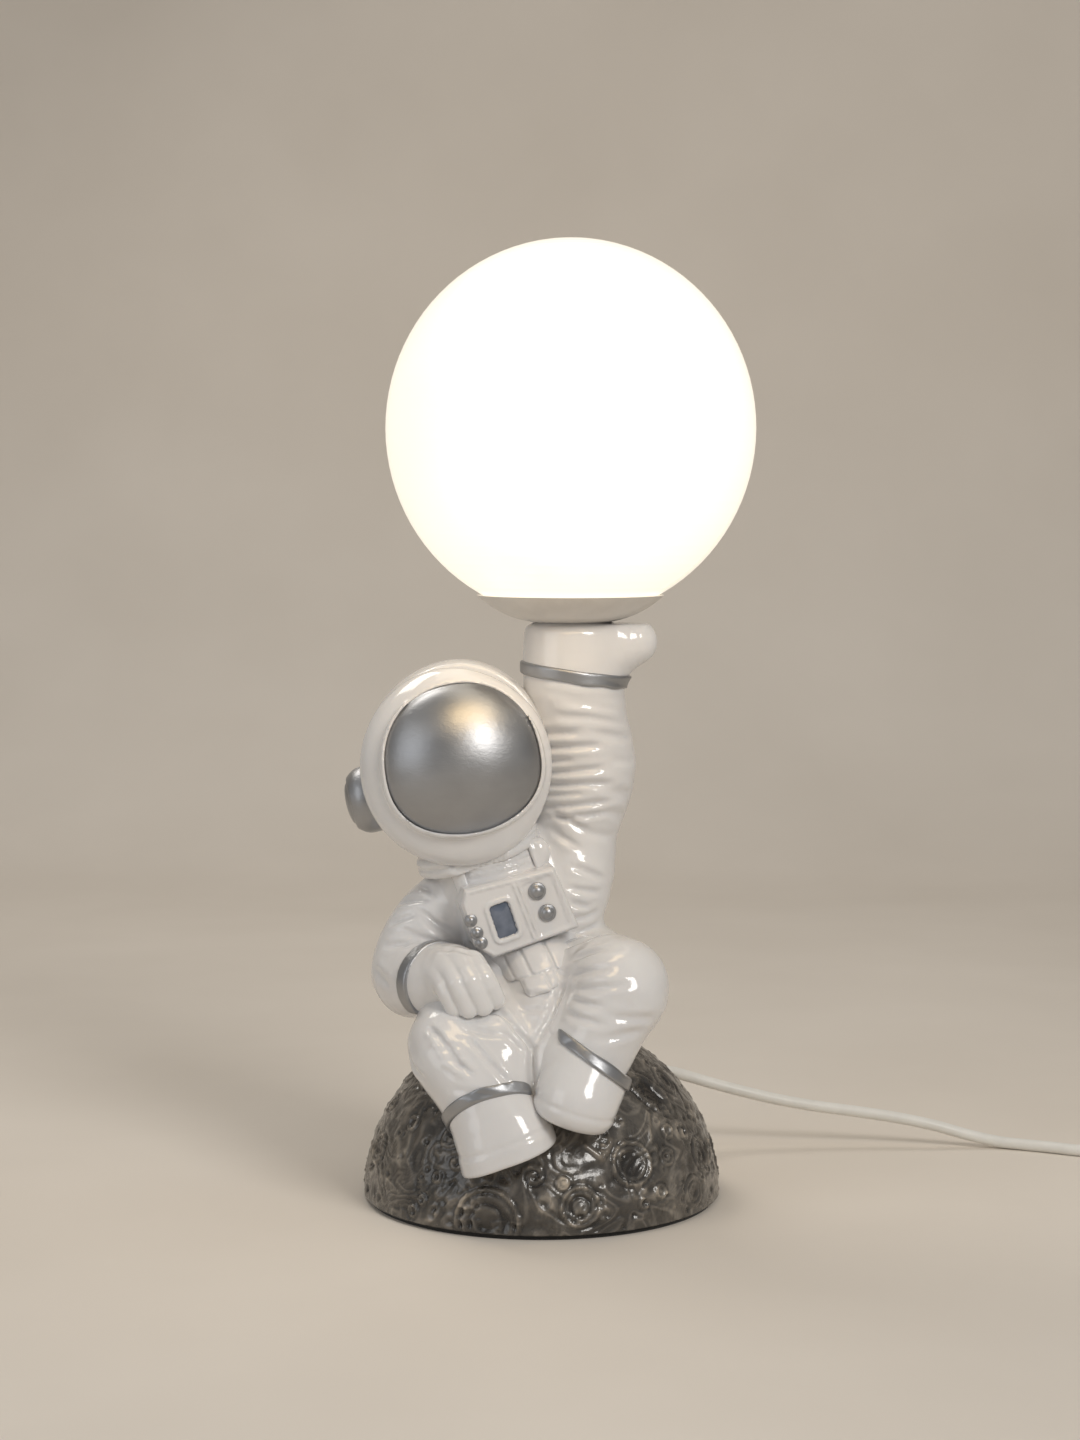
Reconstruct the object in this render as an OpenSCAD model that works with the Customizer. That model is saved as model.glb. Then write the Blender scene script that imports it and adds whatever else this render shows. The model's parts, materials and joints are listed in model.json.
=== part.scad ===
// Table lamp: a seated space-suited figure on a cratered rock holds an opal globe over its head.
// Origin at the centre of the foot pad's underside, Z up, X to the figure's left, front towards -Y.

/* [Rock base] */
// Width of the rock at the table
base_d = 146; // [138:1:156]
// Wall of the hollow rock
rock_wall = 7; // [5:0.5:9]
// Thickness of the foot pad
pad_t = 2; // [1.5:0.5:4]
// Distance from the rock's edge to the edge of the foot pad
pad_inset = 2; // [1:0.5:5]
// Thickness of the cover plate in the rock's underside
cover_t = 3; // [2:0.5:5]
// Width of a screw post inside the rock
post_d = 10; // [8:1:14]
// Diameter of the cover screws
screw_d = 3; // [2.5:0.5:4]
// Length of the cover screws
screw_l = 14; // [10:1:20]

/* [Figure] */
// Height of the pelvis centre above the top of the rock
seat_h = 11; // [8:0.5:14]
// Lean of the torso towards the lowered arm, in degrees
torso_lean = 18; // [14:0.5:22]
// Length of the torso from the pelvis centre to the collar
torso_l = 62; // [60:0.5:66]
// Radius of the chest
chest_r = 24.4; // [23:0.2:26]
// Radius of the raised upper arm
arm_r = 17.3; // [16:0.2:18.4]
// Radius of the raised elbow
elbow_r = 21.2; // [20:0.2:22]
// Radius of the raised wrist and palm
wrist_r = 20; // [19:0.2:21.2]
// Height of the raised palm above the pelvis centre
reach_h = 150.9; // [146:0.5:160]
// Radius of the lowered forearm
forearm_r = 14.4; // [13.4:0.2:15.4]
// Radius of the thighs
thigh_r = 16.4; // [15.4:0.2:17.2]
// Radius of the ankles
ankle_r = 15.4; // [14.6:0.2:16.4]
// Radius of one finger of the lowered glove
finger_r = 4.4; // [3.8:0.2:5]
// Width of the silver bands at the wrists and ankles
band_w = 4.2; // [3:0.2:6]
// Height of the silver bands above the suit
band_t = 1.2; // [0.8:0.1:2]

/* [Helmet] */
// Diameter of the helmet
helmet_d = 80.8; // [78:0.2:83]
// Wall of the helmet and its visor
helmet_wall = 3.6; // [3:0.2:5]
// Width of the visor
visor_w = 62.4; // [58:0.4:66]
// Height of the visor
visor_h = 58.2; // [54:0.4:61]
// How far the visor stands proud of the helmet
visor_proud = 0.9; // [0.4:0.1:1.6]
// Diameter of the ear cap
ear_d = 27; // [22:0.5:30]
// Thickness of the ear cap
ear_t = 7; // [5:0.5:9]
// Outer diameter of the collar
collar_d = 46; // [44:0.5:49]
// Height of the collar
collar_h = 8.6; // [7:0.2:10]

/* [Chest pack and backpack] */
// Height of the chest pack's front
pack_h = 27.4; // [24:0.2:30]
// How far the chest pack stands out from the torso axis
pack_out = 29; // [28:0.2:31]
// Diameter of the two large knobs
knob_d = 6; // [5:0.2:7]
// Diameter of the three small knobs
stud_d = 4.2; // [3.4:0.2:5]
// Width of one belt pouch
pouch_w = 8.8; // [7.6:0.2:9]
// Height of one belt pouch
pouch_h = 10.4; // [9:0.2:11]
// Width of the backpack
bag_w = 42; // [36:1:46]
// Height of the backpack
bag_h = 46; // [40:1:48]
// How far the backpack stands out behind the torso axis
bag_out = 38; // [34:1:42]
// Width of a shoulder strap
strap_w = 6; // [4:0.5:8]
// Thickness of a shoulder strap
strap_t = 1.6; // [1.2:0.2:2.4]

/* [Globe and cup] */
// Width of the glass globe
globe_d = 150; // [140:1:160]
// Height of the whole globe before its opening is cut
globe_h = 153; // [143:1:163]
// Thickness of the glass
glass_t = 2.6; // [2:0.2:3.2]
// Diameter of the cup's rim
cup_d = 76.4; // [72:0.4:80]
// Height of the cup
cup_h = 11.3; // [10.5:0.1:13]
// Thickness of the cup
cup_t = 1.3; // [1:0.1:1.6]
// Radius of the cup's flat foot
cup_foot_r = 10; // [9:0.5:12]
// Height of the gasket under the glass
gasket_t = 1.3; // [1:0.1:2]

/* [Lampholder and bulb] */
// Diameter of the lampholder's skirt
holder_d = 26.8; // [25:0.2:30]
// Height of the lampholder
holder_h = 50; // [47:1:54]
// Diameter of the bulb's cap
cap_d = 13.4; // [13:0.1:14]
// Length of the bulb's cap
cap_l = 24; // [22:0.5:26]
// Diameter of the bulb's dome
bulb_d = 45; // [40:0.5:47]
// Whole length of the bulb
bulb_l = 78; // [72:1:84]
// Diameter of the threaded tube
tube_d = 10; // [9:0.5:11]
// Bore of the threaded tube
tube_bore = 7; // [6:0.2:7.6]
// Width across the flats of the tube's nut
nut_af = 14; // [13:0.5:16]
// Thickness of the tube's nut
nut_t = 5; // [3:0.5:6]
// Diameter of the washer above the nut
washer_d = 20; // [17:0.5:21]
// Thickness of the sheet steel of the washer and spring clips
sheet_t = 0.8; // [0.5:0.1:1.2]

/* [Cord, switch and plug] */
// Diameter of the cord
cord_d = 5; // [4.6:0.1:5.4]
// Height of the cord's outlet above the table
outlet_z = 35; // [32:0.5:38]
// Direction of the cord's outlet, in degrees from the figure's left
outlet_turn = 55; // [52:0.5:58]
// Diameter of the gland's thread
gland_d = 12; // [10:0.5:13]
// Length of the tapered strain relief
relief_l = 20; // [18:0.5:22]
// Length of the inline switch
switch_l = 64; // [60:1:68]
// Width of the inline switch
switch_w = 26; // [22:1:28]
// Height of the inline switch
switch_h = 18; // [17:0.5:22]
// Swing of the rocker between on and off, in degrees
rocker_swing = 16; // [10:1:20]
// Length of the plug's body
plug_l = 34; // [30:1:38]
// Width of the plug's body
plug_w = 28; // [26:1:32]
// Diameter of a plug pin
pin_d = 4; // [3.8:0.1:4.8]
// Length of a plug pin
pin_l = 19; // [17:0.5:20]
// Distance between the plug pins
pin_gap = 19; // [18:0.5:20]
// Thickness of the tie round the coil
tie_t = 0.6; // [0.4:0.1:1]
// Width of the tie
tie_w = 9; // [6:1:14]

/* [Hidden] */

// Colours of the glaze, paint, metal and plastic
white = [0.93, 0.92, 0.9];
silver = [0.6, 0.61, 0.63];
stone = [0.35, 0.33, 0.31];
black = [0.12, 0.12, 0.12];
steel = [0.72, 0.73, 0.75];
brass = [0.78, 0.64, 0.32];

// Clearances and overshoots
fit = 0.05;
gap = 0.3;
glass_gap = 0.45;
cut = 1;
far = 200;
side_n = 20;

// Places that the sizes above settle
base_r = base_d / 2;
helmet_r = helmet_d / 2;
pelvis = [-3.5, 2, base_r + seat_h];
torso_pitch = 4.6;
torso_yaw = 10;
helmet_at = [-34, -8, pelvis[2] + 95];
palm_z = pelvis[2] + reach_h;
lamp_at = [11.8, 6, palm_z];
lead_at = [0, 4];

// Small vector and curve functions
function unit(v) = v / norm(v);
function place(s) = [s[0], s[1], s[2]];
function blend4(a, b, c, d, t) = 0.5 * (2 * b + (c - a) * t
    + (2 * a - 5 * b + 4 * c - d) * t * t + (3 * b - a - 3 * c + d) * t * t * t);
function smooth(P, steps) = let (last = len(P) - 1) concat([for (i = [0 : last - 1], j = [0 : steps - 1])
    blend4(P[max(i - 1, 0)], P[i], P[i + 1], P[min(i + 2, last)], j / steps)], [P[last]]);
function tangents(S) = [for (i = [0 : len(S) - 1])
    unit(place(S[min(i + 1, len(S) - 1)]) - place(S[max(i - 1, 0)]))];
function square_to(u, t) = unit(u - (u * t) * t);
function carried(T, u, i = 0) = i == len(T) ? []
    : let (w = square_to(u, T[i])) concat([w], carried(T, w, i + 1));
function rounded_rect(w, h, r, n = 5) = [for (c = [[1, 1, 0], [-1, 1, 90], [-1, -1, 180], [1, -1, 270]],
    i = [0 : n]) [c[0] * (w / 2 - r), c[1] * (h / 2 - r)]
    + r * [cos(c[2] + 90 * i / n), sin(c[2] + 90 * i / n)]];

// A limb's stations are [x, y, z, radius] from the pelvis. Round ends are added as shrinking rings.
dome_steps = 3;
dome_angle = 78;
function dome(from, to) = let (d = unit(place(from) - place(to)), r = from[3])
    [for (i = [1 : dome_steps]) let (a = dome_angle * i / dome_steps)
        concat(place(from) + d * r * sin(a), [r * cos(a)])];
function back_to_front(S) = [for (i = [len(S) - 1 : -1 : 0]) S[i]];
function domed(S) = concat(back_to_front(dome(S[0], S[1])), S,
    dome(S[len(S) - 1], S[len(S) - 2]));

// A closed tube through stations, with flat ends
module tube(S, sides, first = [1, 0, 0]) {
    T = tangents(S);
    U = carried(T, first);
    last = len(S) - 1;
    points = [for (i = [0 : last]) let (v = cross(T[i], U[i]))
        for (j = [0 : sides - 1]) let (a = 360 * (j + 0.5) / sides)
            place(S[i]) + S[i][3] * (cos(a) * U[i] + sin(a) * v)];
    walls = [for (i = [0 : last - 1], j = [0 : sides - 1])
        let (k = (j + 1) % sides, a = i * sides, b = a + sides)
            each [[a + j, b + j, b + k], [a + j, b + k, a + k]]];
    ends = [for (j = [1 : sides - 2])
        each [[0, j, j + 1], [last * sides, last * sides + j + 1, last * sides + j]]];
    polyhedron(points, concat(walls, ends));
}

module limb(stations, steps = 3) {
    translate(pelvis) tube(domed(smooth(stations, steps)), side_n, [0.3, 1, 0.2]);
}

// Frames: the torso, the helmet, the lamp's axis, and a plane or ring square to a direction
module in_torso() {
    translate(pelvis) rotate([torso_pitch, -torso_lean, 0]) rotate([0, 0, torso_yaw]) children();
}

module in_helmet() {
    translate(helmet_at) rotate([-7, -12, 0]) rotate([0, 0, 5]) children();
}

module on_axis(z = 0) {
    translate(lamp_at + [0, 0, z]) children();
}

module facing(at, d) {
    translate(at) rotate([0, acos(unit(d)[2]), atan2(d[1], d[0])]) children();
}

module beyond(at, d) {
    facing(at, d) translate([-far / 2, -far / 2, 0]) cube(far);
}

module ring(r, inner, h) {
    difference() {
        cylinder(r = r, h = h, $fn = 64);
        translate([0, 0, -cut]) cylinder(r = inner, h = h + 2 * cut, $fn = 64);
    }
}

// Limb stations from the pelvis, by eye from the figure's pose
raised_path = [[11, 3, 36, arm_r + 1.5], [15, 5.5, 50, arm_r + 1.2], [17.3, 8, 66, arm_r],
    [19.6, 8, 80, elbow_r - 1.4], [20.9, 8, 93, elbow_r], [18.4, 5.5, 110, elbow_r - 1],
    [16.6, 4, reach_h - 26, wrist_r + 0.4], [16.2, 4, reach_h - 12, wrist_r]];
palm_path = [[16.2, 4, reach_h - 30, wrist_r + 0.3], [16.2, 4, reach_h - 18, wrist_r],
    [16.2, 4, reach_h - 8, wrist_r + 0.2], [16.4, 4, reach_h - 4, wrist_r - 0.6],
    [16.6, 4, reach_h - 1.2, wrist_r - 2.4], [16.8, 4, reach_h, wrist_r - 5]];
thumb_path = [[20, 3, reach_h - 16.5, 14], [28, 2.5, reach_h - 13.5, 11], [36, 2, reach_h - 9.5, 8.6],
    [44.2, 1.5, reach_h - 6.1, 6.2]];
raised_seam = [16.3, 4, reach_h - 21];
raised_square = [0.14, 0, 1];

lowered_path = [[-24, -1, 40, 13], [-36, -2, 34, forearm_r + 0.5], [-45, -6, 22, forearm_r + 1.8],
    [-48.5, -11, 9.5, forearm_r + 2.6], [-44, -22, 8.6, forearm_r + 0.9], [-38.5, -30, 8.8, forearm_r]];
glove_path = [[-43, -22, 8.8, forearm_r + 0.1], [-36, -31, 9.4, forearm_r - 0.2], [-29, -39, 9.6, forearm_r - 1],
    [-23, -44, 8, forearm_r - 3.4]];
finger_roots = [[-34, -43, 12.6], [-29.2, -45.6, 15.2], [-23.6, -46.4, 16.2], [-17.8, -45, 15.6]];
finger_tips = [[-26.6, -53.6, -3.4], [-21, -54.4, -2.6], [-15, -53.6, -1.4], [-10.4, -50.6, 0.4]];
finger_bulge = [0.6, -5.6, 1.4];
lowered_seam = [-39.5, -27, 9];
lowered_square = [0.4, -0.91, 0.05];

right_path = [[-10, -4, 1, thigh_r], [-22, -24, -3, thigh_r + 0.4], [-33, -44, -13.5, thigh_r - 0.2],
    [-25.5, -53.5, -25, ankle_r + 0.3], [-17.6, -58.5, -33.6, ankle_r]];
right_boot_path = [[-19, -57.5, -32, ankle_r - 0.3], [-15, -62.5, -39, ankle_r - 0.6],
    [-14.5, -66.5, -44.5, ankle_r - 1.2]];
right_toe_path = [[-16.8, -66, -45, ankle_r - 2.8], [-8, -68, -43.4, ankle_r - 3], [-3.4, -68.6, -42.4, ankle_r - 4.2]];
right_seam = [-17.6, -58, -33];
right_square = [0.42, -0.5, -0.75];

left_path = [[9, -3, 3, thigh_r + 0.4], [22, -22, 7.5, thigh_r + 1.2], [34.6, -44, 10, thigh_r + 2.4],
    [29.5, -50.5, -3, ankle_r + 1.6], [23.4, -53.5, -15, ankle_r + 0.8]];
left_boot_path = [[24, -53, -14, ankle_r + 0.5], [21.5, -58, -22, ankle_r + 0.3], [19, -64, -30, ankle_r - 0.3]];
left_toe_path = [[17, -62.5, -28.6, ankle_r - 2], [11.5, -64, -27.2, ankle_r - 4]];
left_seam = [23.4, -53, -15.2];
left_square = [-0.42, -0.3, -0.86];

module rock_form() {
    sphere(r = base_r, $fn = 96);
}

module helmet_form() {
    translate(helmet_at) sphere(r = helmet_r, $fn = 96);
}

module torso_form(grow = 0) {
    profile = [[chest_r - 14, -18], [chest_r - 7.4, -12], [chest_r - 4.9, 0], [chest_r - 4, 12],
        [chest_r - 2, 26], [chest_r, 40], [chest_r - 0.6, 50], [chest_r - 3.4, torso_l]];
    in_torso() rotate_extrude($fn = 72)
        polygon(concat([[0, -21]], [for (p = smooth(profile, 3)) [p[0] + grow, p[1]]], [[0, torso_l]]));
}

module collar_form() {
    groove = collar_h / 2;
    in_torso() translate([0, 0, torso_l - 1]) rotate_extrude($fn = 72)
        polygon([[0, 0], [collar_d / 2 - 1, 0], [collar_d / 2, 1.2], [collar_d / 2, groove - 0.8],
            [collar_d / 2 - 0.8, groove], [collar_d / 2, groove + 0.8], [collar_d / 2, collar_h - 1.2],
            [collar_d / 2 - 1.2, collar_h], [0, collar_h]]);
}

module raised_form() {
    limb(raised_path, 2);
}

module palm_form() {
    translate(pelvis) tube(smooth(palm_path, 2), side_n, [0.3, 1, 0.2]);
    limb(thumb_path, 2);
}

module lowered_form() {
    limb(lowered_path, 2);
}

module right_leg_form() {
    limb(right_path);
}

module left_leg_form() {
    limb(left_path);
}

module right_boot_form() {
    limb(right_boot_path, 2);
    limb(right_toe_path, 2);
}

module left_boot_form() {
    limb(left_boot_path, 2);
    limb(left_toe_path, 2);
}

// The silver band that covers the seam between two castings of a limb
module band(seam, square_dir, r) {
    facing(pelvis + seam, square_dir) translate([0, 0, -band_w / 2]) ring(r + band_t, r - 4, band_w);
}

// The cup is a dish: a flat foot and one arc up to the rim
cup_r = cup_d / 2;
dish_r = (pow(cup_r - cup_foot_r, 2) + pow(cup_h, 2)) / (2 * cup_h);
function dish(r, grow) = dish_r - sqrt(pow(dish_r - grow, 2) - pow(max(r - cup_foot_r, 0), 2));
cup_inner_r = cup_foot_r + sqrt(pow(dish_r - cup_t, 2) - pow(dish_r - cup_h, 2));
arm_turn_r = holder_d / 2 + 1.2;
plate_z = dish(arm_turn_r, cup_t) + fit;
holder_z = plate_z + sheet_t;

// The lead's way from the lampholder down through the figure to the gland
gland_out = sqrt(pow(base_r, 2) - pow(outlet_z, 2)) - 2;
outlet_dir = [cos(outlet_turn), sin(outlet_turn), 0];
function on_outlet(r) = r * outlet_dir + [0, 0, outlet_z];
gland_thread_l = 15;
boss_l = 9;
flange_t = 3;
relief_end = gland_out + flange_t + relief_l;
core_z = holder_z + 22;
tube_low = 28;
lead_route = [lamp_at + [0, 0, core_z - gap], lamp_at + [0, 0, core_z - 12], lamp_at + [0, 0, -6],
    lamp_at + [0, 0, -tube_low], pelvis + [17, 5.5, 104], pelvis + [18, 7, 84], pelvis + [14, 6, 62],
    pelvis + [8, 4, 42], pelvis + [4, 2.4, 22],
    [lead_at[0], lead_at[1], pelvis[2] + 6], [lead_at[0], lead_at[1], base_r - 6],
    [lead_at[0], lead_at[1], base_r - 20], on_outlet(16) + [-4, 0, 8], on_outlet(30) + [0, 0, 1],
    on_outlet(gland_out - gland_thread_l - 2), on_outlet(gland_out - 6), on_outlet(relief_end)];
lead_stations = [for (p = smooth(lead_route, 3)) concat(p, [cord_d / 2])];
channel_stations = [for (p = smooth(lead_route, 3)) concat(p, [cord_d / 2 + 1.6])];

module channel() {
    tube(channel_stations, 8, [1, 0, 0]);
}

module foot_pad() {
    color(black) cylinder(r = base_r - pad_inset, h = pad_t, $fn = 96);
}

// Three screw posts hang from the rock's wall
post_r = base_r - rock_wall - 14;
post_turns = [90, 210, 330];
cover_top = pad_t + cover_t;
screw_head_r = screw_d;
head_t = 1.8;

module at_posts() {
    for (a = post_turns) rotate([0, 0, a - 60]) translate([post_r, 0, 0]) children();
}

module base_cover() {
    color(black) difference() {
        translate([0, 0, pad_t]) cylinder(r = sqrt(pow(base_r - rock_wall, 2) - pow(cover_top, 2)) - gap,
            h = cover_t, $fn = 96);
        at_posts() {
            translate([0, 0, pad_t - cut]) cylinder(r = screw_d / 2 + 0.2, h = cover_t + 2 * cut, $fn = 24);
            translate([0, 0, pad_t - cut]) cylinder(r = screw_head_r + 0.2, h = head_t + cut, $fn = 24);
        }
    }
}

module cover_screws() {
    color(steel) at_posts() {
        translate([0, 0, pad_t]) cylinder(r = screw_head_r, h = head_t, $fn = 24);
        translate([0, 0, pad_t]) cylinder(r = screw_d / 2, h = screw_l, $fn = 24);
    }
}

// Craters are [turn, tilt above the table, radius, depth], in degrees and millimetres
craters = [[-61, 20, 8, 2.2], [-82, 10, 6.4, 1.8], [-112, 11, 12, 2.6], [-40, 12, 5.6, 1.4],
    [-140, 28, 6.6, 1.6], [-165, 14, 9, 2.2], [-20, 30, 7.4, 2], [4, 12, 9.5, 2.4], [30, 34, 8, 2],
    [82, 50, 7, 1.8], [104, 16, 11, 2.6], [138, 38, 9, 2.2], [160, 10, 7, 1.8], [176, 46, 6, 1.6]];

module at_crater(c) {
    rotate([0, 90 - c[1], c[0]]) translate([0, 0, base_r]) children();
}

module moon_rock() {
    color(stone) difference() {
        union() {
            difference() {
                rock_form();
                for (c = craters) let (bowl_r = (pow(c[2], 2) + pow(c[3], 2)) / (2 * c[3]))
                    at_crater(c) translate([0, 0, bowl_r - c[3]]) sphere(r = bowl_r, $fn = 64);
                rotate([0, 0, 30]) sphere(r = base_r - rock_wall, $fn = 96);
            }
            intersection() {
                union() {
                    at_posts() translate([0, 0, cover_top]) cylinder(r = post_d / 2, h = base_r, $fn = 32);
                    facing(on_outlet(gland_out - boss_l), outlet_dir) cylinder(r = gland_d / 2 + 5, h = boss_l, $fn = 48);
                }
                sphere(r = base_r - rock_wall / 2, $fn = 96);
            }
        }
        at_posts() translate([0, 0, pad_t]) cylinder(r = screw_d / 2 + fit, h = screw_l + 2, $fn = 24);
        facing(on_outlet(gland_out), outlet_dir) cylinder(r = gland_d / 2 + 4.5, h = 30, $fn = 48);
        facing(on_outlet(gland_out - 30), outlet_dir) cylinder(r = gland_d / 2 + 0.1, h = 40, $fn = 48);
        facing(on_outlet(gland_out - boss_l - 20), outlet_dir) cylinder(r = gland_d / 2 + 4.2, h = 20, $fn = 48);
        translate([lead_at[0], lead_at[1], base_r / 2]) cylinder(r = cord_d / 2 + 1.6, h = base_r, $fn = 32);
        translate([-far / 2, -far / 2, pad_t - far]) cube(far);
    }
}

module cord_gland() {
    color(white) facing(on_outlet(gland_out), outlet_dir) difference() {
        union() {
            translate([0, 0, -gland_thread_l]) cylinder(r = gland_d / 2, h = gland_thread_l, $fn = 48);
            cylinder(r = gland_d / 2 + 3, h = flange_t, $fn = 48);
            translate([0, 0, flange_t]) cylinder(r1 = gland_d / 2 - 0.4, r2 = cord_d / 2 + 1, h = relief_l, $fn = 48);
        }
        translate([0, 0, -gland_thread_l - cut])
            cylinder(r = cord_d / 2 + 0.1, h = relief_end + gland_thread_l, $fn = 32);
    }
}

module gland_nut() {
    nut_l = 4;
    color(white) facing(on_outlet(gland_out - boss_l - nut_l), outlet_dir) difference() {
        cylinder(r = gland_d / 2 + 3.4, h = nut_l, $fn = 6);
        translate([0, 0, -cut]) cylinder(r = gland_d / 2 + fit, h = nut_l + 2 * cut, $fn = 48);
    }
}

module torso() {
    color(white) difference() {
        torso_form();
        rock_form();
        helmet_form();
        channel();
    }
}

module collar() {
    color(white) difference() {
        collar_form();
        helmet_form();
        torso_form();
    }
}

// The visor's outline, a wide rounded egg, as a prism through the helmet's front
module visor_prism() {
    power = 0.92;
    outline = [for (i = [0 : 39]) let (a = 9 * i, c = cos(a), s = sin(a))
        [visor_w / 2 * sign(c) * pow(abs(c), power), visor_h / 2 * sign(s) * pow(abs(s), power)]];
    in_helmet() translate([1, -14, 0]) rotate([90, 0, 0]) linear_extrude(60) polygon(outline);
}

front_y = -14;
ear_dir = [-0.93, -0.1, -0.34];

module ear_frame() {
    facing(helmet_at + (helmet_r - 2.6) * unit(ear_dir), ear_dir) children();
}

module helmet_shell() {
    groove = 0.8;
    color(white) difference() {
        intersection() {
            helmet_form();
            in_helmet() translate([-far / 2, front_y, -far / 2]) cube(far);
        }
        translate(helmet_at) rotate([0, 0, 30]) sphere(r = helmet_r - helmet_wall, $fn = 96);
        in_helmet() translate([0, front_y + 1.4, 0]) rotate([90, 0, 0])
            ring(helmet_r + 2, sqrt(pow(helmet_r, 2) - pow(front_y, 2)) - groove, 3);
        in_torso() cylinder(r = 9, h = far, $fn = 48);
        ear_frame() cylinder(r = ear_d / 2 - 3, h = ear_t, $fn = 48);
    }
}

module helmet_front() {
    color(white) difference() {
        intersection() {
            translate(helmet_at) sphere(r = helmet_r - 0.3, $fn = 96);
            in_helmet() translate([-far / 2, front_y - far, -far / 2]) cube(far);
        }
        translate(helmet_at) rotate([0, 0, 30]) sphere(r = helmet_r - helmet_wall, $fn = 96);
        visor_prism();
        collar_form();
    }
}

module visor() {
    color(silver) difference() {
        intersection() {
            translate(helmet_at) sphere(r = helmet_r + visor_proud, $fn = 96);
            visor_prism();
        }
        translate(helmet_at) sphere(r = helmet_r - helmet_wall, $fn = 96);
    }
}

module ear_cap() {
    r = ear_d / 2;
    profile = [[0, -2], [r - 3, -2], [r - 3, 0], [r, 0], [r, ear_t * 0.45], [r - 1.6, ear_t * 0.75], [r - 4, ear_t * 0.92], [0, ear_t]];
    color(silver) difference() {
        ear_frame() rotate_extrude($fn = 64) polygon(profile);
        helmet_form();
    }
}

// The chest pack is a wedge-sided box whose back follows the chest
pack_mid = 40;
pack_outline = [[-19, pack_mid + pack_h / 2 + 1.5], [16, pack_mid + pack_h / 2 - 1.5],
    [19.5, pack_mid - pack_h / 2 - 1.5], [-21.5, pack_mid - pack_h / 2 + 1.5]];
screen_at = [-5.6, 38.6];
screen_w = 8.4;
screen_h = 14;
screen_sink = 0.8;
large_at = [[10.8, 45], [12, 35.3]];
small_at = [[-18.1, 43], [-17.4, 37.4], [-17, 33]];

module on_pack(at) {
    in_torso() translate([at[0], -pack_out, at[1]]) rotate([90, 0, 0]) children();
}

module chest_pack() {
    color(white) difference() {
        union() {
            in_torso() translate([0, -8, 0]) rotate([90, 0, 0]) linear_extrude(pack_out - 8) polygon(pack_outline);
            on_pack([4, pack_mid]) translate([-0.7, -pack_h / 2 + 1, -1]) cube([1.4, pack_h - 2, 1.8]);
        }
        on_pack(screen_at) translate([0, 0, -screen_sink - 1])
            linear_extrude(5) polygon(rounded_rect(screen_w, screen_h, 1.6));
        torso_form();
        collar_form();
        raised_form();
        left_leg_form();
    }
}

module chest_screen() {
    color([0.42, 0.46, 0.53]) on_pack(screen_at) translate([0, 0, -screen_sink - 1])
        linear_extrude(1) polygon(rounded_rect(screen_w, screen_h, 1.6));
}

module knob(d) {
    difference() {
        sphere(r = d / 2, $fn = 48);
        translate([-d, -d, -2 * d]) cube(2 * d);
    }
}

module large_knobs() {
    color(silver) for (at = large_at) on_pack(at) knob(knob_d);
}

module small_knobs() {
    color(silver) for (at = small_at) on_pack(at) knob(stud_d);
}

module belt_pouches() {
    row_z = 19.4;
    slots = [[-5.8, row_z], [3.6, row_z], [13, row_z], [0.6, row_z - pouch_h - 0.6]];
    color(white) difference() {
        for (s = slots) in_torso() translate([s[0], 0, s[1]]) rotate([90, 0, 0])
            linear_extrude(s[1] < row_z ? pack_out - 3.5 : pack_out - 2) polygon(rounded_rect(pouch_w, pouch_h, 1.4, 3));
        torso_form();
        chest_pack_space();
        left_leg_form();
        right_leg_form();
        rock_form();
        raised_form();
    }
}

module chest_pack_space() {
    in_torso() rotate([90, 0, 0]) linear_extrude(pack_out) polygon(pack_outline);
}

module shoulder_straps() {
    color(white) difference() {
        intersection() {
            torso_form(strap_t);
            in_torso() for (x = [-15.4, 17.4]) translate([x - strap_w / 2, -far / 2, pack_mid - 12])
                cube([strap_w, far, torso_l - pack_mid + 11]);
        }
        torso_form();
        collar_form();
        helmet_form();
        raised_form();
        lowered_form();
        chest_pack_space();
        backpack_space();
    }
}

bag_low = 8;
module backpack_space() {
    in_torso() translate([0, bag_out / 2, bag_low]) linear_extrude(bag_h) polygon(rounded_rect(bag_w, bag_out, 6));
}

module backpack() {
    color(white) difference() {
        backpack_space();
        torso_form();
        helmet_form();
        collar_form();
        raised_form();
        lowered_form();
        rock_form();
        left_leg_form();
        right_leg_form();
    }
}

module nut_pocket() {
    on_axis(-tube_low - 2) cylinder(r = washer_d / 2 + 1, h = tube_low + 2 - 19, $fn = 48);
}

module raised_arm() {
    color(white) difference() {
        raised_form();
        beyond(pelvis + raised_seam, raised_square);
        torso_form();
        collar_form();
        helmet_form();
        nut_pocket();
        channel();
    }
}

module raised_hand() {
    color(white) difference() {
        palm_form();
        beyond(pelvis + raised_seam, -raised_square);
        beyond(lamp_at, [0, 0, 1]);
        nut_pocket();
        on_axis(-tube_low) cylinder(r = tube_d / 2 + 0.1, h = tube_low + cut, $fn = 32);
    }
}

module raised_wrist_band() {
    color(silver) difference() {
        band(raised_seam, raised_square, wrist_r);
        raised_form();
        palm_form();
    }
}

module lowered_arm() {
    color(white) difference() {
        lowered_form();
        beyond(pelvis + lowered_seam, lowered_square);
        torso_form();
        right_leg_form();
    }
}

module glove_form() {
    limb(glove_path, 2);
    for (i = [0 : 3]) let (a = finger_roots[i], b = finger_tips[i])
        translate(pelvis) tube(domed(smooth([concat(a, [finger_r]), concat((a + b) / 2 + finger_bulge, [finger_r]),
            concat(b, [finger_r * 0.9])], 2)), 10, [0, 0.4, 1]);
}

module lowered_hand() {
    color(white) difference() {
        glove_form();
        beyond(pelvis + lowered_seam, -lowered_square);
        torso_form();
        right_leg_form();
        chest_pack_space();
    }
}

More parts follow.
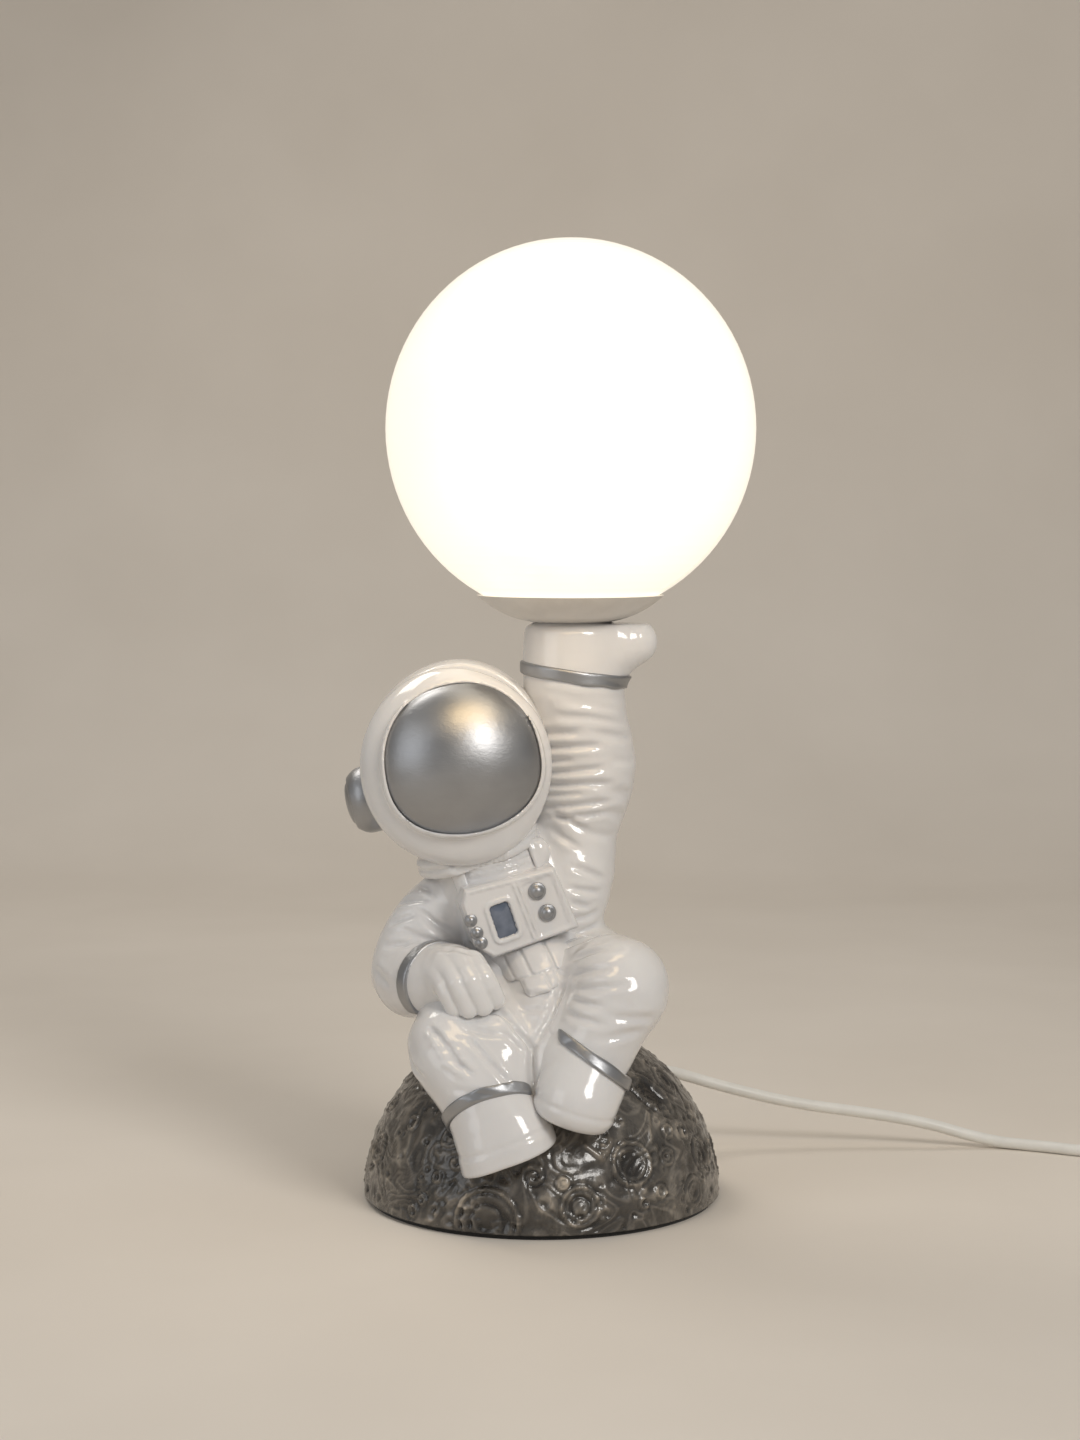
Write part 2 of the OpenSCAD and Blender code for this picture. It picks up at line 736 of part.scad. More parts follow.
module lowered_wrist_band() {
    color(silver) difference() {
        band(lowered_seam, lowered_square, forearm_r + 0.4);
        lowered_form();
        glove_form();
        right_leg_form();
    }
}

module right_leg() {
    color(white) difference() {
        right_leg_form();
        beyond(pelvis + right_seam, right_square);
        torso_form();
        rock_form();
    }
}

module right_boot() {
    color(white) difference() {
        right_boot_form();
        beyond(pelvis + right_seam, -right_square);
        rock_form();
        left_boot_form();
    }
}

module right_ankle_band() {
    color(silver) difference() {
        band(right_seam, right_square, ankle_r);
        right_leg_form();
        right_boot_form();
        rock_form();
    }
}

module left_leg() {
    color(white) difference() {
        left_leg_form();
        beyond(pelvis + left_seam, left_square);
        torso_form();
        rock_form();
        right_leg_form();
        raised_form();
    }
}

module left_boot() {
    color(white) difference() {
        left_boot_form();
        beyond(pelvis + left_seam, -left_square);
        rock_form();
    }
}

module left_ankle_band() {
    color(silver) difference() {
        band(left_seam, left_square, ankle_r + 0.7);
        left_leg_form();
        left_boot_form();
        rock_form();
    }
}

arc_steps = 16;
outer_dish = [for (i = [0 : arc_steps]) let (r = cup_foot_r + (cup_r - cup_foot_r) * i / arc_steps)
    [r, dish(r, 0)]];
inner_dish = [for (i = [arc_steps : -1 : 0]) let (r = cup_foot_r + (cup_inner_r - cup_foot_r) * i / arc_steps)
    [r, dish(r, cup_t)]];

module dish_space() {
    on_axis() rotate_extrude($fn = 96) polygon(concat([[0, cup_t]], back_to_front(inner_dish), [[0, cup_h + 1]]));
}

module shade_cup() {
    color(white) on_axis() difference() {
        rotate_extrude($fn = 96) polygon(concat([[0, 0]], outer_dish, inner_dish, [[0, cup_t]]));
        translate([0, 0, -cut]) cylinder(r = tube_d / 2 + 0.1, h = cup_t + 2 * cut, $fn = 32);
    }
}

// The glass: an upright ellipsoid cut off where it meets its gasket, with the hole that the bulb passes
hole_r = bulb_d / 2 + glass_gap;
lip_r = hole_r + glass_t - 0.3;
lip_z = dish(lip_r, cup_t) + gasket_t + gap;
globe_r = globe_d / 2;
rim_glass_r = cup_inner_r - glass_gap;
globe_mid = cup_h + globe_h / 2 * sqrt(1 - pow(rim_glass_r / globe_r, 2));
glass_steps = 48;
function half_oval(a, b) = [for (i = [0 : glass_steps]) let (t = -90 + 180 * i / glass_steps)
    [a * max(cos(t), 0), b * sin(t)]];

module globe_shade() {
    color([1, 0.97, 0.88]) on_axis() difference() {
        translate([0, 0, globe_mid]) rotate_extrude($fn = 96) polygon(half_oval(globe_r, globe_h / 2));
        translate([0, 0, globe_mid]) rotate_extrude($fn = 96)
            polygon(half_oval(globe_r - glass_t, globe_h / 2 - glass_t));
        cylinder(r = hole_r, h = globe_mid, $fn = 64);
        translate([-far / 2, -far / 2, lip_z - far]) cube(far);
    }
}

module cup_gasket() {
    color(black) on_axis() difference() {
        translate([0, 0, cup_t]) ring(lip_r, hole_r + gap, lip_z - gap - cup_t);
        translate(-lamp_at) dish_floor();
    }
}

module dish_floor() {
    on_axis() rotate_extrude($fn = 96) polygon(concat([[0, -1], [cup_r, -1], [cup_inner_r, cup_h]],
        inner_dish, [[0, cup_t]]));
}

// A steel spider under the lampholder, with three spring legs inside the glass's hole
clip_turns = [30, 150, 270];
leg_r = hole_r - glass_gap - 0.2;
leg_top = lip_z + 9;
arm_z = 6;
leg_w = 6;
module spring_clips() {
    arm_r = arm_turn_r - sheet_t;
    color(steel) on_axis(plate_z) difference() {
        union() {
            cylinder(r = holder_d / 2 - 1, h = sheet_t, $fn = 48);
            for (a = clip_turns) rotate([0, 0, a]) {
                translate([0, -leg_w / 2, 0]) cube([arm_turn_r, leg_w, sheet_t]);
                translate([arm_r, -leg_w / 2, 0]) cube([sheet_t, leg_w, arm_z - plate_z]);
                translate([arm_r, -leg_w / 2, arm_z - plate_z - sheet_t]) cube([leg_r - arm_r, leg_w, sheet_t]);
                translate([leg_r - sheet_t, -leg_w / 2, arm_z - plate_z - sheet_t])
                    cube([sheet_t, leg_w, leg_top - arm_z + sheet_t]);
            }
        }
        translate([0, 0, -cut]) cylinder(r = tube_d / 2 + 0.1, h = sheet_t + 2 * cut, $fn = 32);
    }
}

module lamp_tube() {
    color(steel) on_axis(-tube_low) ring(tube_d / 2, tube_bore / 2, tube_low + holder_z + 9);
}

module tube_washer() {
    color(steel) on_axis(-19 - sheet_t * 2) ring(washer_d / 2, tube_d / 2 + 0.1, sheet_t * 2);
}

module tube_nut() {
    color(steel) on_axis(-19 - sheet_t * 2 - nut_t) difference() {
        cylinder(r = nut_af / 2 / cos(30), h = nut_t, $fn = 6);
        translate([0, 0, -cut]) cylinder(r = tube_d / 2 + fit, h = nut_t + 2 * cut, $fn = 32);
    }
}

// The lampholder: a skirt with a threaded floor, a core, a screw shell and a centre contact
shell_r = cap_d / 2 + gap;
shell_t = 0.5;
core_r = holder_d / 2 - 1.8;
core_floor_t = 3;
bulb_z = core_z + core_floor_t + 1.5;
module lampholder() {
    floor_t = 10;
    color(white) on_axis(holder_z) difference() {
        cylinder(r = holder_d / 2, h = holder_h, $fn = 64);
        translate([0, 0, floor_t]) cylinder(r = core_r + fit, h = holder_h, $fn = 64);
        translate([0, 0, -cut]) cylinder(r = tube_d / 2 + fit, h = floor_t + 2 * cut, $fn = 32);
    }
}

module holder_core() {
    color(white) on_axis(core_z) difference() {
        cylinder(r = core_r, h = holder_z + holder_h - core_z - 1, $fn = 64);
        translate([0, 0, core_floor_t]) cylinder(r = shell_r + shell_t, h = holder_h, $fn = 48);
    }
}

module screw_shell() {
    color(brass) on_axis(core_z + core_floor_t) ring(shell_r + shell_t, shell_r, holder_h - 28);
}

module centre_contact() {
    color(brass) on_axis(core_z + core_floor_t) cylinder(r = 3, h = 1.2, $fn = 32);
}

module bulb_cap() {
    color(brass) on_axis(bulb_z) {
        cylinder(r = 2.4, h = 1.5, $fn = 32);
        translate([0, 0, 1.5]) cylinder(r1 = cap_d / 2 - 1.5, r2 = cap_d / 2, h = 2, $fn = 48);
        translate([0, 0, 3.5]) cylinder(r = cap_d / 2, h = cap_l - 3.5, $fn = 48);
    }
}

dome_cut = bulb_d * 0.24;
module bulb_neck() {
    edge_r = sqrt(pow(bulb_d / 2, 2) - pow(dome_cut, 2));
    neck_l = bulb_l - cap_l - bulb_d / 2 - dome_cut;
    color([0.95, 0.95, 0.94]) on_axis(bulb_z + cap_l)
        cylinder(r1 = cap_d / 2 + 0.6, r2 = edge_r, h = neck_l, $fn = 64);
}

module bulb_dome() {
    color([1, 0.98, 0.9]) on_axis(bulb_z + bulb_l - bulb_d / 2) difference() {
        sphere(r = bulb_d / 2, $fn = 64);
        sphere(r = bulb_d / 2 - 1.2, $fn = 64);
        translate([-far / 2, -far / 2, -dome_cut - far]) cube(far);
    }
}

module inner_lead() {
    color(white) tube(lead_stations, 8, [1, 0, 0]);
}

// The free cord, laid out by hand: first away from the relief, down to the table and on to the switch
lie = cord_d / 2;
switch_at = [294, 56];
switch_mid = 7;
cord_steps = 3;
run_points = concat([on_outlet(relief_end), on_outlet(relief_end + 3)],
    [[57, 76.2, 34], [66, 79.2, 31], [76, 80.5, 27.8], [90, 81, 24], [105, 81, 20.5], [122, 81, 17.5],
    [140, 80.5, 15.2], [158, 79.5, 12.6], [174, 78.5, 9.4], [189, 77.2, 5.4], [202, 75, 3],
    [213, 71.5, lie], [224, 66.5, lie], [234, 61.5, lie], [243, 58, 3.6], [251, 56.4, 5.8],
    [258, 56, switch_mid], [switch_at[0] - switch_l / 2, switch_at[1], switch_mid]]);
coil_at = [switch_at[0] + 16, -4];
coil_r = 40;
lead_end_y = coil_at[1] + 6;
coil_low = lie + tie_t + gap;
turn_r = coil_at[0] + coil_r - (switch_at[0] + switch_l / 2) - 4;
lead_points = concat([[switch_at[0] + switch_l / 2, switch_at[1], switch_mid]],
    [for (a = [90 : -22.5 : 0]) [coil_at[0] + coil_r - turn_r + turn_r * cos(a),
        switch_at[1] - turn_r + turn_r * sin(a), lie + (switch_mid - lie) * pow(a / 90, 2)]],
    [[coil_at[0] + coil_r, 24, lie], [coil_at[0] + coil_r, 12, coil_low],
    [coil_at[0] + coil_r, lead_end_y + cord_d, coil_low], [coil_at[0] + coil_r, lead_end_y, coil_low]]);

module free_cord(points, steps) {
    tube([for (p = smooth(points, steps)) concat(p, [cord_d / 2])], 8, [0, 0, 1]);
}

module cord_run() {
    color(white) free_cord(run_points, cord_steps);
}

module cord_lead() {
    color(white) free_cord(lead_points, cord_steps);
}

// The coil: in along the lower layer, up a layer in the half turn where it reverses, and out again
coil_turns = 7;
coil_inner_r = 20.5;
coil_layer = cord_d + 0.5;
coil_rings = 24;
plug_mid = coil_low + coil_layer;
tail_end_y = coil_at[1] - 32;
coil_reach = 360 * coil_turns / 2;
function ease(t) = let (u = min(max(t, 0), 1)) u * u * (3 - 2 * u);
function coil_point(a) = let (
    r = coil_inner_r + (coil_r - coil_inner_r) * abs(a - coil_reach) / coil_reach,
    z = coil_low + coil_layer * ease((a - coil_reach + 90) / 180))
    [coil_at[0] + r * cos(a), coil_at[1] - r * sin(a), z];
coil_bends = [for (i = [0 : coil_rings * coil_turns]) coil_point(360 * i / coil_rings)];
coil_route = concat([[coil_at[0] + coil_r, lead_end_y, coil_low], [coil_at[0] + coil_r, coil_at[1] + 1, coil_low]],
    [for (i = [1 : len(coil_bends) - 2]) coil_bends[i]],
    [[coil_at[0] + coil_r, coil_at[1] - 1, plug_mid], [coil_at[0] + coil_r, tail_end_y + cord_d, plug_mid],
    [coil_at[0] + coil_r, tail_end_y, plug_mid]]);
coil_min = min([for (i = [0 : len(coil_route) - 1], j = [i + 12 : 1 : len(coil_route) - 1])
    norm(coil_route[i] - coil_route[j])]) - cord_d;
function run_length(P) = len(P) < 2 ? 0 : [for (i = 0, s = 0; i < len(P); s = s + (i < len(P) - 1
    ? norm(P[i + 1] - P[i]) : 0), i = i + 1) s][len(P) - 1];
echo(coil_least_gap = coil_min);
echo(run_mm = run_length(smooth(run_points, cord_steps)), lead_mm = run_length(smooth(lead_points, cord_steps)),
    coil_mm = run_length(coil_route), inner_mm = run_length(smooth(lead_route, 3)));

module cord_coil() {
    color(white) tube([for (p = coil_route) concat(p, [cord_d / 2])], 6, [0, 0, 1]);
}

module cord_tie() {
    tie_in = coil_inner_r - lie - gap;
    tie_out = coil_r + lie + gap;
    tie_high = coil_low + coil_layer + lie + gap;
    color(black) translate([coil_at[0] - tie_w / 2, coil_at[1], 0]) difference() {
        translate([0, -tie_out - tie_t, 0]) cube([tie_w, tie_out - tie_in + 2 * tie_t, tie_high + tie_t]);
        translate([-cut, -tie_out, tie_t]) cube([tie_w + 2 * cut, tie_out - tie_in, tie_high - tie_t]);
    }
}

// The inline switch: two halves, a rocker on its own pivot, two screws and a pair of contacts
switch_split = switch_h / 2;
wall = 2;
rocker_l = 18;
rocker_w = 11;
pivot_r = 1.2;
pivot_z = switch_h - 5;
module in_switch(z = 0) {
    translate([switch_at[0], switch_at[1], z]) children();
}

module switch_outline(grow) {
    polygon(rounded_rect(switch_l - 2 * grow, switch_w - 2 * grow, 7 - grow, 6));
}

module switch_screw_places() {
    for (x = [-1, 1]) translate([x * (switch_l / 2 - 13), 0, 0]) children();
}

module switch_base() {
    color(white) in_switch() difference() {
        union() {
            difference() {
                linear_extrude(switch_split) switch_outline(0);
                translate([0, 0, wall]) linear_extrude(switch_split) switch_outline(wall);
            }
            switch_screw_places() cylinder(r = 3.4, h = switch_split, $fn = 32);
            for (x = [-1, 1]) translate([x * (switch_l / 2 - 4) - 2, -5, wall - 0.5]) cube([4, 10, switch_split - wall + 0.5]);
        }
        switch_screw_places() translate([0, 0, -cut]) cylinder(r = 1.2 + fit, h = switch_h, $fn = 24);
        switch_screw_places() translate([0, 0, -cut]) cylinder(r = 2.6, h = 3, $fn = 24);
        for (x = [-1, 1]) translate([x * switch_l / 2, 0, switch_mid]) rotate([0, 90, 0])
            cylinder(r = 1.6, h = 30, center = true, $fn = 24);
    }
}

module switch_lid() {
    color(white) in_switch(switch_split) difference() {
        union() {
            difference() {
                linear_extrude(switch_h - switch_split) switch_outline(0);
                translate([0, 0, -wall]) linear_extrude(switch_h - switch_split) switch_outline(wall);
            }
            switch_screw_places() cylinder(r = 3.4, h = switch_h - switch_split - 1, $fn = 32);
            for (s = [-1, 1]) translate([0, s * (rocker_w / 2 + 1.9), (pivot_z - switch_split + switch_h - switch_split) / 2])
                cube([7, 2.8, switch_h - pivot_z + 3], center = true);
        }
        translate([-rocker_l / 2 - 0.8, -rocker_w / 2 - 0.4, -cut]) cube([rocker_l + 1.6, rocker_w + 0.8, switch_h]);
        translate([0, 0, pivot_z - switch_split]) rotate([90, 0, 0])
            cylinder(r = pivot_r + fit, h = rocker_w + 5, center = true, $fn = 32);
        switch_screw_places() translate([0, 0, -cut]) cylinder(r = 1.2 + fit, h = 6, $fn = 24);
    }
}

module switch_rocker() {
    half = rocker_swing / 2;
    crest = switch_h - pivot_z + 1.4;
    side = [[-rocker_l / 2 + 0.6, crest - 2.6], [-rocker_l / 2 + 0.6, crest + (rocker_l / 2) * tan(half)], [0, crest],
        [rocker_l / 2 - 0.6, crest + (rocker_l / 2) * tan(half)], [rocker_l / 2 - 0.6, crest - 2.6], [3.4, -2.2], [-3.4, -2.2]];
    color(white) in_switch(pivot_z) rotate([0, half, 0]) {
        translate([0, rocker_w / 2, 0]) rotate([90, 0, 0]) linear_extrude(rocker_w) polygon(side);
        rotate([90, 0, 0]) cylinder(r = pivot_r, h = rocker_w + 3.6, center = true, $fn = 32);
    }
}

module switch_screws() {
    color(steel) in_switch() switch_screw_places() {
        translate([0, 0, 0.4]) cylinder(r = 2.4, h = 1.6, $fn = 24);
        translate([0, 0, 0.4]) cylinder(r = 1.2, h = 13, $fn = 24);
    }
}

module switch_contacts() {
    color(brass) in_switch(wall) for (x = [-1, 1]) translate([x * 10 - 4, -3, 0]) cube([8, 6, 4]);
}

// The plug: a flat body with a tapered relief, and two round pins
plug_start = tail_end_y;
relief_short = 12;
module plug_body() {
    color(white) translate([coil_at[0] + coil_r, plug_start, 0]) difference() {
        union() {
            translate([0, 0, plug_mid]) rotate([90, 0, 0])
                cylinder(r1 = cord_d / 2 + 1, r2 = 5.4, h = relief_short + 3, $fn = 48);
            translate([0, -relief_short - plug_l / 2, 0]) linear_extrude(2 * plug_mid)
                polygon(rounded_rect(plug_w, plug_l, 6, 5));
        }
        pin_spots() cylinder(r = pin_d / 2, h = 8 + cut, $fn = 32);
    }
}

module pin_spots() {
    for (s = [-1, 1]) translate([s * pin_gap / 2, -relief_short - plug_l + 8, plug_mid]) rotate([90, 0, 0]) children();
}

module plug_pins() {
    color(brass) translate([coil_at[0] + coil_r, plug_start, 0]) pin_spots() {
        cylinder(r = pin_d / 2, h = 8 + pin_l - pin_d / 4, $fn = 32);
        translate([0, 0, 8 + pin_l - pin_d / 4]) cylinder(r1 = pin_d / 2, r2 = pin_d / 4, h = pin_d / 4, $fn = 32);
    }
}

foot_pad();
base_cover();
cover_screws();
moon_rock();
cord_gland();
gland_nut();
torso();
collar();
helmet_shell();
helmet_front();
visor();
ear_cap();
chest_pack();
chest_screen();
large_knobs();
small_knobs();
belt_pouches();
shoulder_straps();
backpack();
raised_arm();
raised_wrist_band();
raised_hand();
lowered_arm();
lowered_wrist_band();
lowered_hand();
right_leg();
right_ankle_band();
right_boot();
left_leg();
left_ankle_band();
left_boot();
shade_cup();
cup_gasket();
spring_clips();
globe_shade();
lamp_tube();
tube_nut();
tube_washer();
lampholder();
holder_core();
screw_shell();
centre_contact();
bulb_cap();
bulb_neck();
bulb_dome();
inner_lead();
cord_run();
switch_base();
switch_lid();
switch_rocker();
switch_screws();
switch_contacts();
cord_lead();
cord_coil();
cord_tie();
plug_body();
plug_pins();
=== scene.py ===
import json
import math

import bpy
import numpy as np
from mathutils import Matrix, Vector, noise

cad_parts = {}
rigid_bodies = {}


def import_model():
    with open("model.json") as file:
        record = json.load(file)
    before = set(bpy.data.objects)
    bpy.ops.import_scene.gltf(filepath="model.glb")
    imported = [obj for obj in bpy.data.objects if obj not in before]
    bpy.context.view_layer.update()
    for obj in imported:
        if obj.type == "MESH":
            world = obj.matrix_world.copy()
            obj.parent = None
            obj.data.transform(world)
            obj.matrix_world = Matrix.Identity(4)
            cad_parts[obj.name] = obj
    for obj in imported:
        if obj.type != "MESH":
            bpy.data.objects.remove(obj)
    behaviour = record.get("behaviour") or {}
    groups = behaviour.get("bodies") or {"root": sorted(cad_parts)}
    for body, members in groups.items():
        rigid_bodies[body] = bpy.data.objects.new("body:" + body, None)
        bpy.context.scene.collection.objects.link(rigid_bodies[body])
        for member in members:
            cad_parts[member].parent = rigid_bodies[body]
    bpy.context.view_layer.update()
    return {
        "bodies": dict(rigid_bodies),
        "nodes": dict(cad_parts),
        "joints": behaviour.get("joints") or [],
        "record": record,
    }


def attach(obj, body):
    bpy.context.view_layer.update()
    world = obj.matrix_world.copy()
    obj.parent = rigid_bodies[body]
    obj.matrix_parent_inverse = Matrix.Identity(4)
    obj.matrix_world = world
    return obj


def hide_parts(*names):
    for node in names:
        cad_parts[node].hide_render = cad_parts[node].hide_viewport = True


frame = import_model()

scene = bpy.context.scene
scene.view_settings.view_transform = "Standard"

# ---- Camera ----
# A viewpoint about a metre in front of the lamp and a little below its globe, tipped slightly
# down, with a lens of portrait length.
camera_at, camera_dip = (-0.00065, -1.072, 0.2822), 4.62
lens_mm, sensor_mm, nearest = 66.12, 36.0, 0.05
camera_data = bpy.data.cameras.new("photo_camera")
camera_data.sensor_fit = "VERTICAL"
camera_data.sensor_height = sensor_mm
camera_data.lens = lens_mm
camera_data.clip_start = nearest
camera = bpy.data.objects.new("photo_camera", camera_data)
camera.location = camera_at
camera.rotation_euler = (math.radians(90 - camera_dip), 0, 0)
scene.collection.objects.link(camera)
scene.camera = camera

# ---- Floor and light ----
# A pale sheet that runs level under the lamp and curves up behind it, lit by three soft boxes, a
# small warm one for the light from the globe, and a dim even sky. A camera behind the sheet sees
# through its back.


def surface(name, colour, roughness, metallic=0.0, **sockets):
    """A new material with its main shader, to which each piece adds its own pattern."""
    made = bpy.data.materials.new(name)
    made.use_nodes = True
    shader = made.node_tree.nodes["Principled BSDF"]
    shader.inputs["Base Color"].default_value = (*colour, 1)
    shader.inputs["Roughness"].default_value = roughness
    shader.inputs["Metallic"].default_value = metallic
    for socket, value in sockets.items():
        shader.inputs[socket.replace("_", " ")].default_value = value
    return made, made.node_tree, shader


def pattern(tree, kind, scale, stretch=(1, 1, 1), **inputs):
    """A noise, voronoi or wave pattern on the piece's own coordinates, with its coordinate node."""
    where = tree.nodes.new("ShaderNodeTexCoord")
    turn = tree.nodes.new("ShaderNodeMapping")
    turn.inputs["Scale"].default_value = stretch
    tree.links.new(where.outputs["Object"], turn.inputs["Vector"])
    made = tree.nodes.new("ShaderNodeTex" + kind)
    made.inputs["Scale"].default_value = scale
    for socket, value in inputs.items():
        made.inputs[socket].default_value = value
    tree.links.new(turn.outputs["Vector"], made.inputs["Vector"])
    return made


def ramp(tree, source, *stops):
    """Colours or greys along a pattern's value."""
    made = tree.nodes.new("ShaderNodeValToRGB")
    made.color_ramp.elements[0].position = stops[0][0]
    made.color_ramp.elements[1].position = stops[-1][0]
    for place, _ in stops[1:-1]:
        made.color_ramp.elements.new(place)
    for element, (_, colour) in zip(made.color_ramp.elements, stops):
        element.color = (*colour, 1) if len(colour) == 3 else colour
    tree.links.new(source, made.inputs["Fac"])
    return made.outputs["Color"]


def vary(tree, shader, socket, source, *stops):
    """Lets a pattern's value set one of the shader's sockets."""
    tree.links.new(ramp(tree, source, *stops), shader.inputs[socket])


def relief(tree, shader, source, height, distance=0.001, after=None):
    """A bump of the given height on the shader's normal."""
    bump = tree.nodes.new("ShaderNodeBump")
    bump.inputs["Strength"].default_value = height
    bump.inputs["Distance"].default_value = distance
    tree.links.new(source, bump.inputs["Height"])
    if after is not None:
        tree.links.new(after.outputs["Normal"], bump.inputs["Normal"])
    tree.links.new(bump.outputs["Normal"], shader.inputs["Normal"])
    return bump


def grey(value):
    """The same value for red, green and blue."""
    return (value, value, value)


paper, tree, shader = surface("pale_paper", (0.76, 0.7, 0.625), 0.85)
shader.inputs["Specular IOR Level"].default_value = 0.2
mottle = pattern(tree, "Noise", 6.0, Detail=3.0)
vary(tree, shader, "Base Color", mottle.outputs["Fac"], (0.3, (0.74, 0.68, 0.605)),
     (0.7, (0.78, 0.72, 0.645)))
side = tree.nodes.new("ShaderNodeNewGeometry")
ray = tree.nodes.new("ShaderNodeLightPath")
both = tree.nodes.new("ShaderNodeMath")
both.operation = "MULTIPLY"
clear = tree.nodes.new("ShaderNodeBsdfTransparent")
seen = tree.nodes.new("ShaderNodeMixShader")
tree.links.new(side.outputs["Backfacing"], both.inputs[0])
tree.links.new(ray.outputs["Is Camera Ray"], both.inputs[1])
tree.links.new(both.outputs["Value"], seen.inputs["Fac"])
tree.links.new(shader.outputs["BSDF"], seen.inputs[1])
tree.links.new(clear.outputs["BSDF"], seen.inputs[2])
tree.links.new(seen.outputs["Shader"], tree.nodes["Material Output"].inputs["Surface"])


def piece(name, points, faces, material=None):
    """An object with a smooth mesh, made from its points and faces."""
    mesh = bpy.data.meshes.new(name)
    mesh.from_pydata([tuple(p) for p in points], [], faces)
    mesh.polygons.foreach_set("use_smooth", [True] * len(faces))
    if material is not None:
        mesh.materials.append(material)
    made = bpy.data.objects.new(name, mesh)
    scene.collection.objects.link(made)
    return made


bend_y, bend_r = 0.85, 0.45
sheet_front, sheet_side, sheet_top = -7.0, 5.0, 2.6
sweep = [(sheet_front, 0.0), (-2.4, 0.0), (bend_y, 0.0)]
sweep += [(bend_y + bend_r * math.sin(math.radians(a)), bend_r - bend_r * math.cos(math.radians(a)))
          for a in range(6, 91, 6)]
sweep.append((bend_y + bend_r, sheet_top))
verts = [(x, y, z) for y, z in sweep for x in (-sheet_side, sheet_side)]
faces = [(2 * i, 2 * i + 1, 2 * i + 3, 2 * i + 2) for i in range(len(sweep) - 1)]
backdrop = piece("backdrop", verts, faces, paper)

world = bpy.data.worlds.new("even_sky")
scene.world = world
world.use_nodes = True
sky = world.node_tree.nodes["Background"]
sky_colour, sky_strength = (1.0, 0.985, 0.96, 1), 0.3
sky.inputs["Color"].default_value = sky_colour
sky.inputs["Strength"].default_value = sky_strength


def soft_box(name, at, towards, size, watts, colour):
    """A rectangular lamp of the given size, turned towards a point."""
    light = bpy.data.lights.new(name, "AREA")
    light.shape = "RECTANGLE"
    light.size, light.size_y = size
    light.energy = watts
    light.color = colour
    made = bpy.data.objects.new(name, light)
    made.location = at
    made.rotation_euler = (Vector(towards) - Vector(at)).to_track_quat("-Z", "Y").to_euler()
    scene.collection.objects.link(made)
    return made


soft_box("key_box", (0.75, -1.1, 1.0), (0, 0, 0.15), (0.5, 0.5), 10.0, (1.0, 0.97, 0.93))
soft_box("fill_box", (-1.1, -0.8, 0.6), (0, 0, 0.14), (0.8, 1.0), 2.7, (0.95, 0.97, 1.0))
soft_box("rim_box", (-0.5, 0.55, 1.1), (0, 0, 0.2), (0.6, 0.35), 3.5, (1.0, 0.95, 0.88))
spill = soft_box("globe_spill", (0.0, -0.088, 0.29), (-0.03, -0.03, 0.2), (0.1, 0.05), 0.06,
                 (1.0, 0.72, 0.38))
spill.visible_camera = False

# ---- Free cord ----
# White round mains cord, 5 mm thick: out of the strain relief behind the rock, down to the table
# and through the inline switch. The spare length is wound in two flat layers and tied.


def smooth_line(points, steps):
    """A smooth curve through the points, whose last column may be a radius."""
    P = np.asarray(points, float)
    made = []
    for i in range(len(P) - 1):
        a, b, c, d = P[max(i - 1, 0)], P[i], P[i + 1], P[min(i + 2, len(P) - 1)]
        for j in range(steps):
            t = j / steps
            made.append(0.5 * (2 * b + (c - a) * t + (2 * a - 5 * b + 4 * c - d) * t ** 2
                               + (3 * b - a - 3 * c + d) * t ** 3))
    return np.array(made + [P[-1]])


def cord_tube(name, line, radius, sides, material):
    """A closed round tube along the line, with its own length and turn as UV."""
    line = np.asarray(line, float)
    T = np.gradient(line, axis=0)
    T /= np.linalg.norm(T, axis=1)[:, None]
    U = np.zeros_like(T)
    u = np.array([0.0, 0.0, 1.0])
    for i, t in enumerate(T):
        u = u - u.dot(t) * t
        u /= np.linalg.norm(u)
        U[i] = u
    V = np.cross(T, U)
    turn = np.arange(sides) * 2 * math.pi / sides
    rings = line[:, None] + radius * (np.cos(turn)[None, :, None] * U[:, None]
                                      + np.sin(turn)[None, :, None] * V[:, None])
    n = len(line)
    verts = np.concatenate([rings.reshape(-1, 3), line[:1], line[-1:]])
    faces = []
    for i in range(n - 1):
        for j in range(sides):
            k = (j + 1) % sides
            faces.append((i * sides + j, i * sides + k, (i + 1) * sides + k, (i + 1) * sides + j))
    for j in range(sides):
        k = (j + 1) % sides
        faces.append((n * sides, k, j))
        faces.append((n * sides + 1, (n - 1) * sides + j, (n - 1) * sides + k))
    made = piece(name, verts, faces, material)
    made.data.polygons.foreach_set("use_smooth", [len(f) == 4 for f in faces])
    return made


cord_plastic, tree, shader = surface("white_cord_plastic", (0.78, 0.765, 0.72), 0.38)
shader.inputs["Subsurface Weight"].default_value = 0.05
shader.inputs["Subsurface Radius"].default_value = (0.002, 0.002, 0.0018)
dust = pattern(tree, "Noise", 90.0, Detail=4.0)
vary(tree, shader, "Base Color", dust.outputs["Fac"], (0.35, (0.74, 0.725, 0.68)),
     (0.65, (0.8, 0.785, 0.74)))
vary(tree, shader, "Roughness", dust.outputs["Fac"], (0.3, grey(0.3)), (0.7, grey(0.46)))
relief(tree, shader, pattern(tree, "Noise", 420.0, Detail=2.0).outputs["Fac"], 0.08, 0.0004)

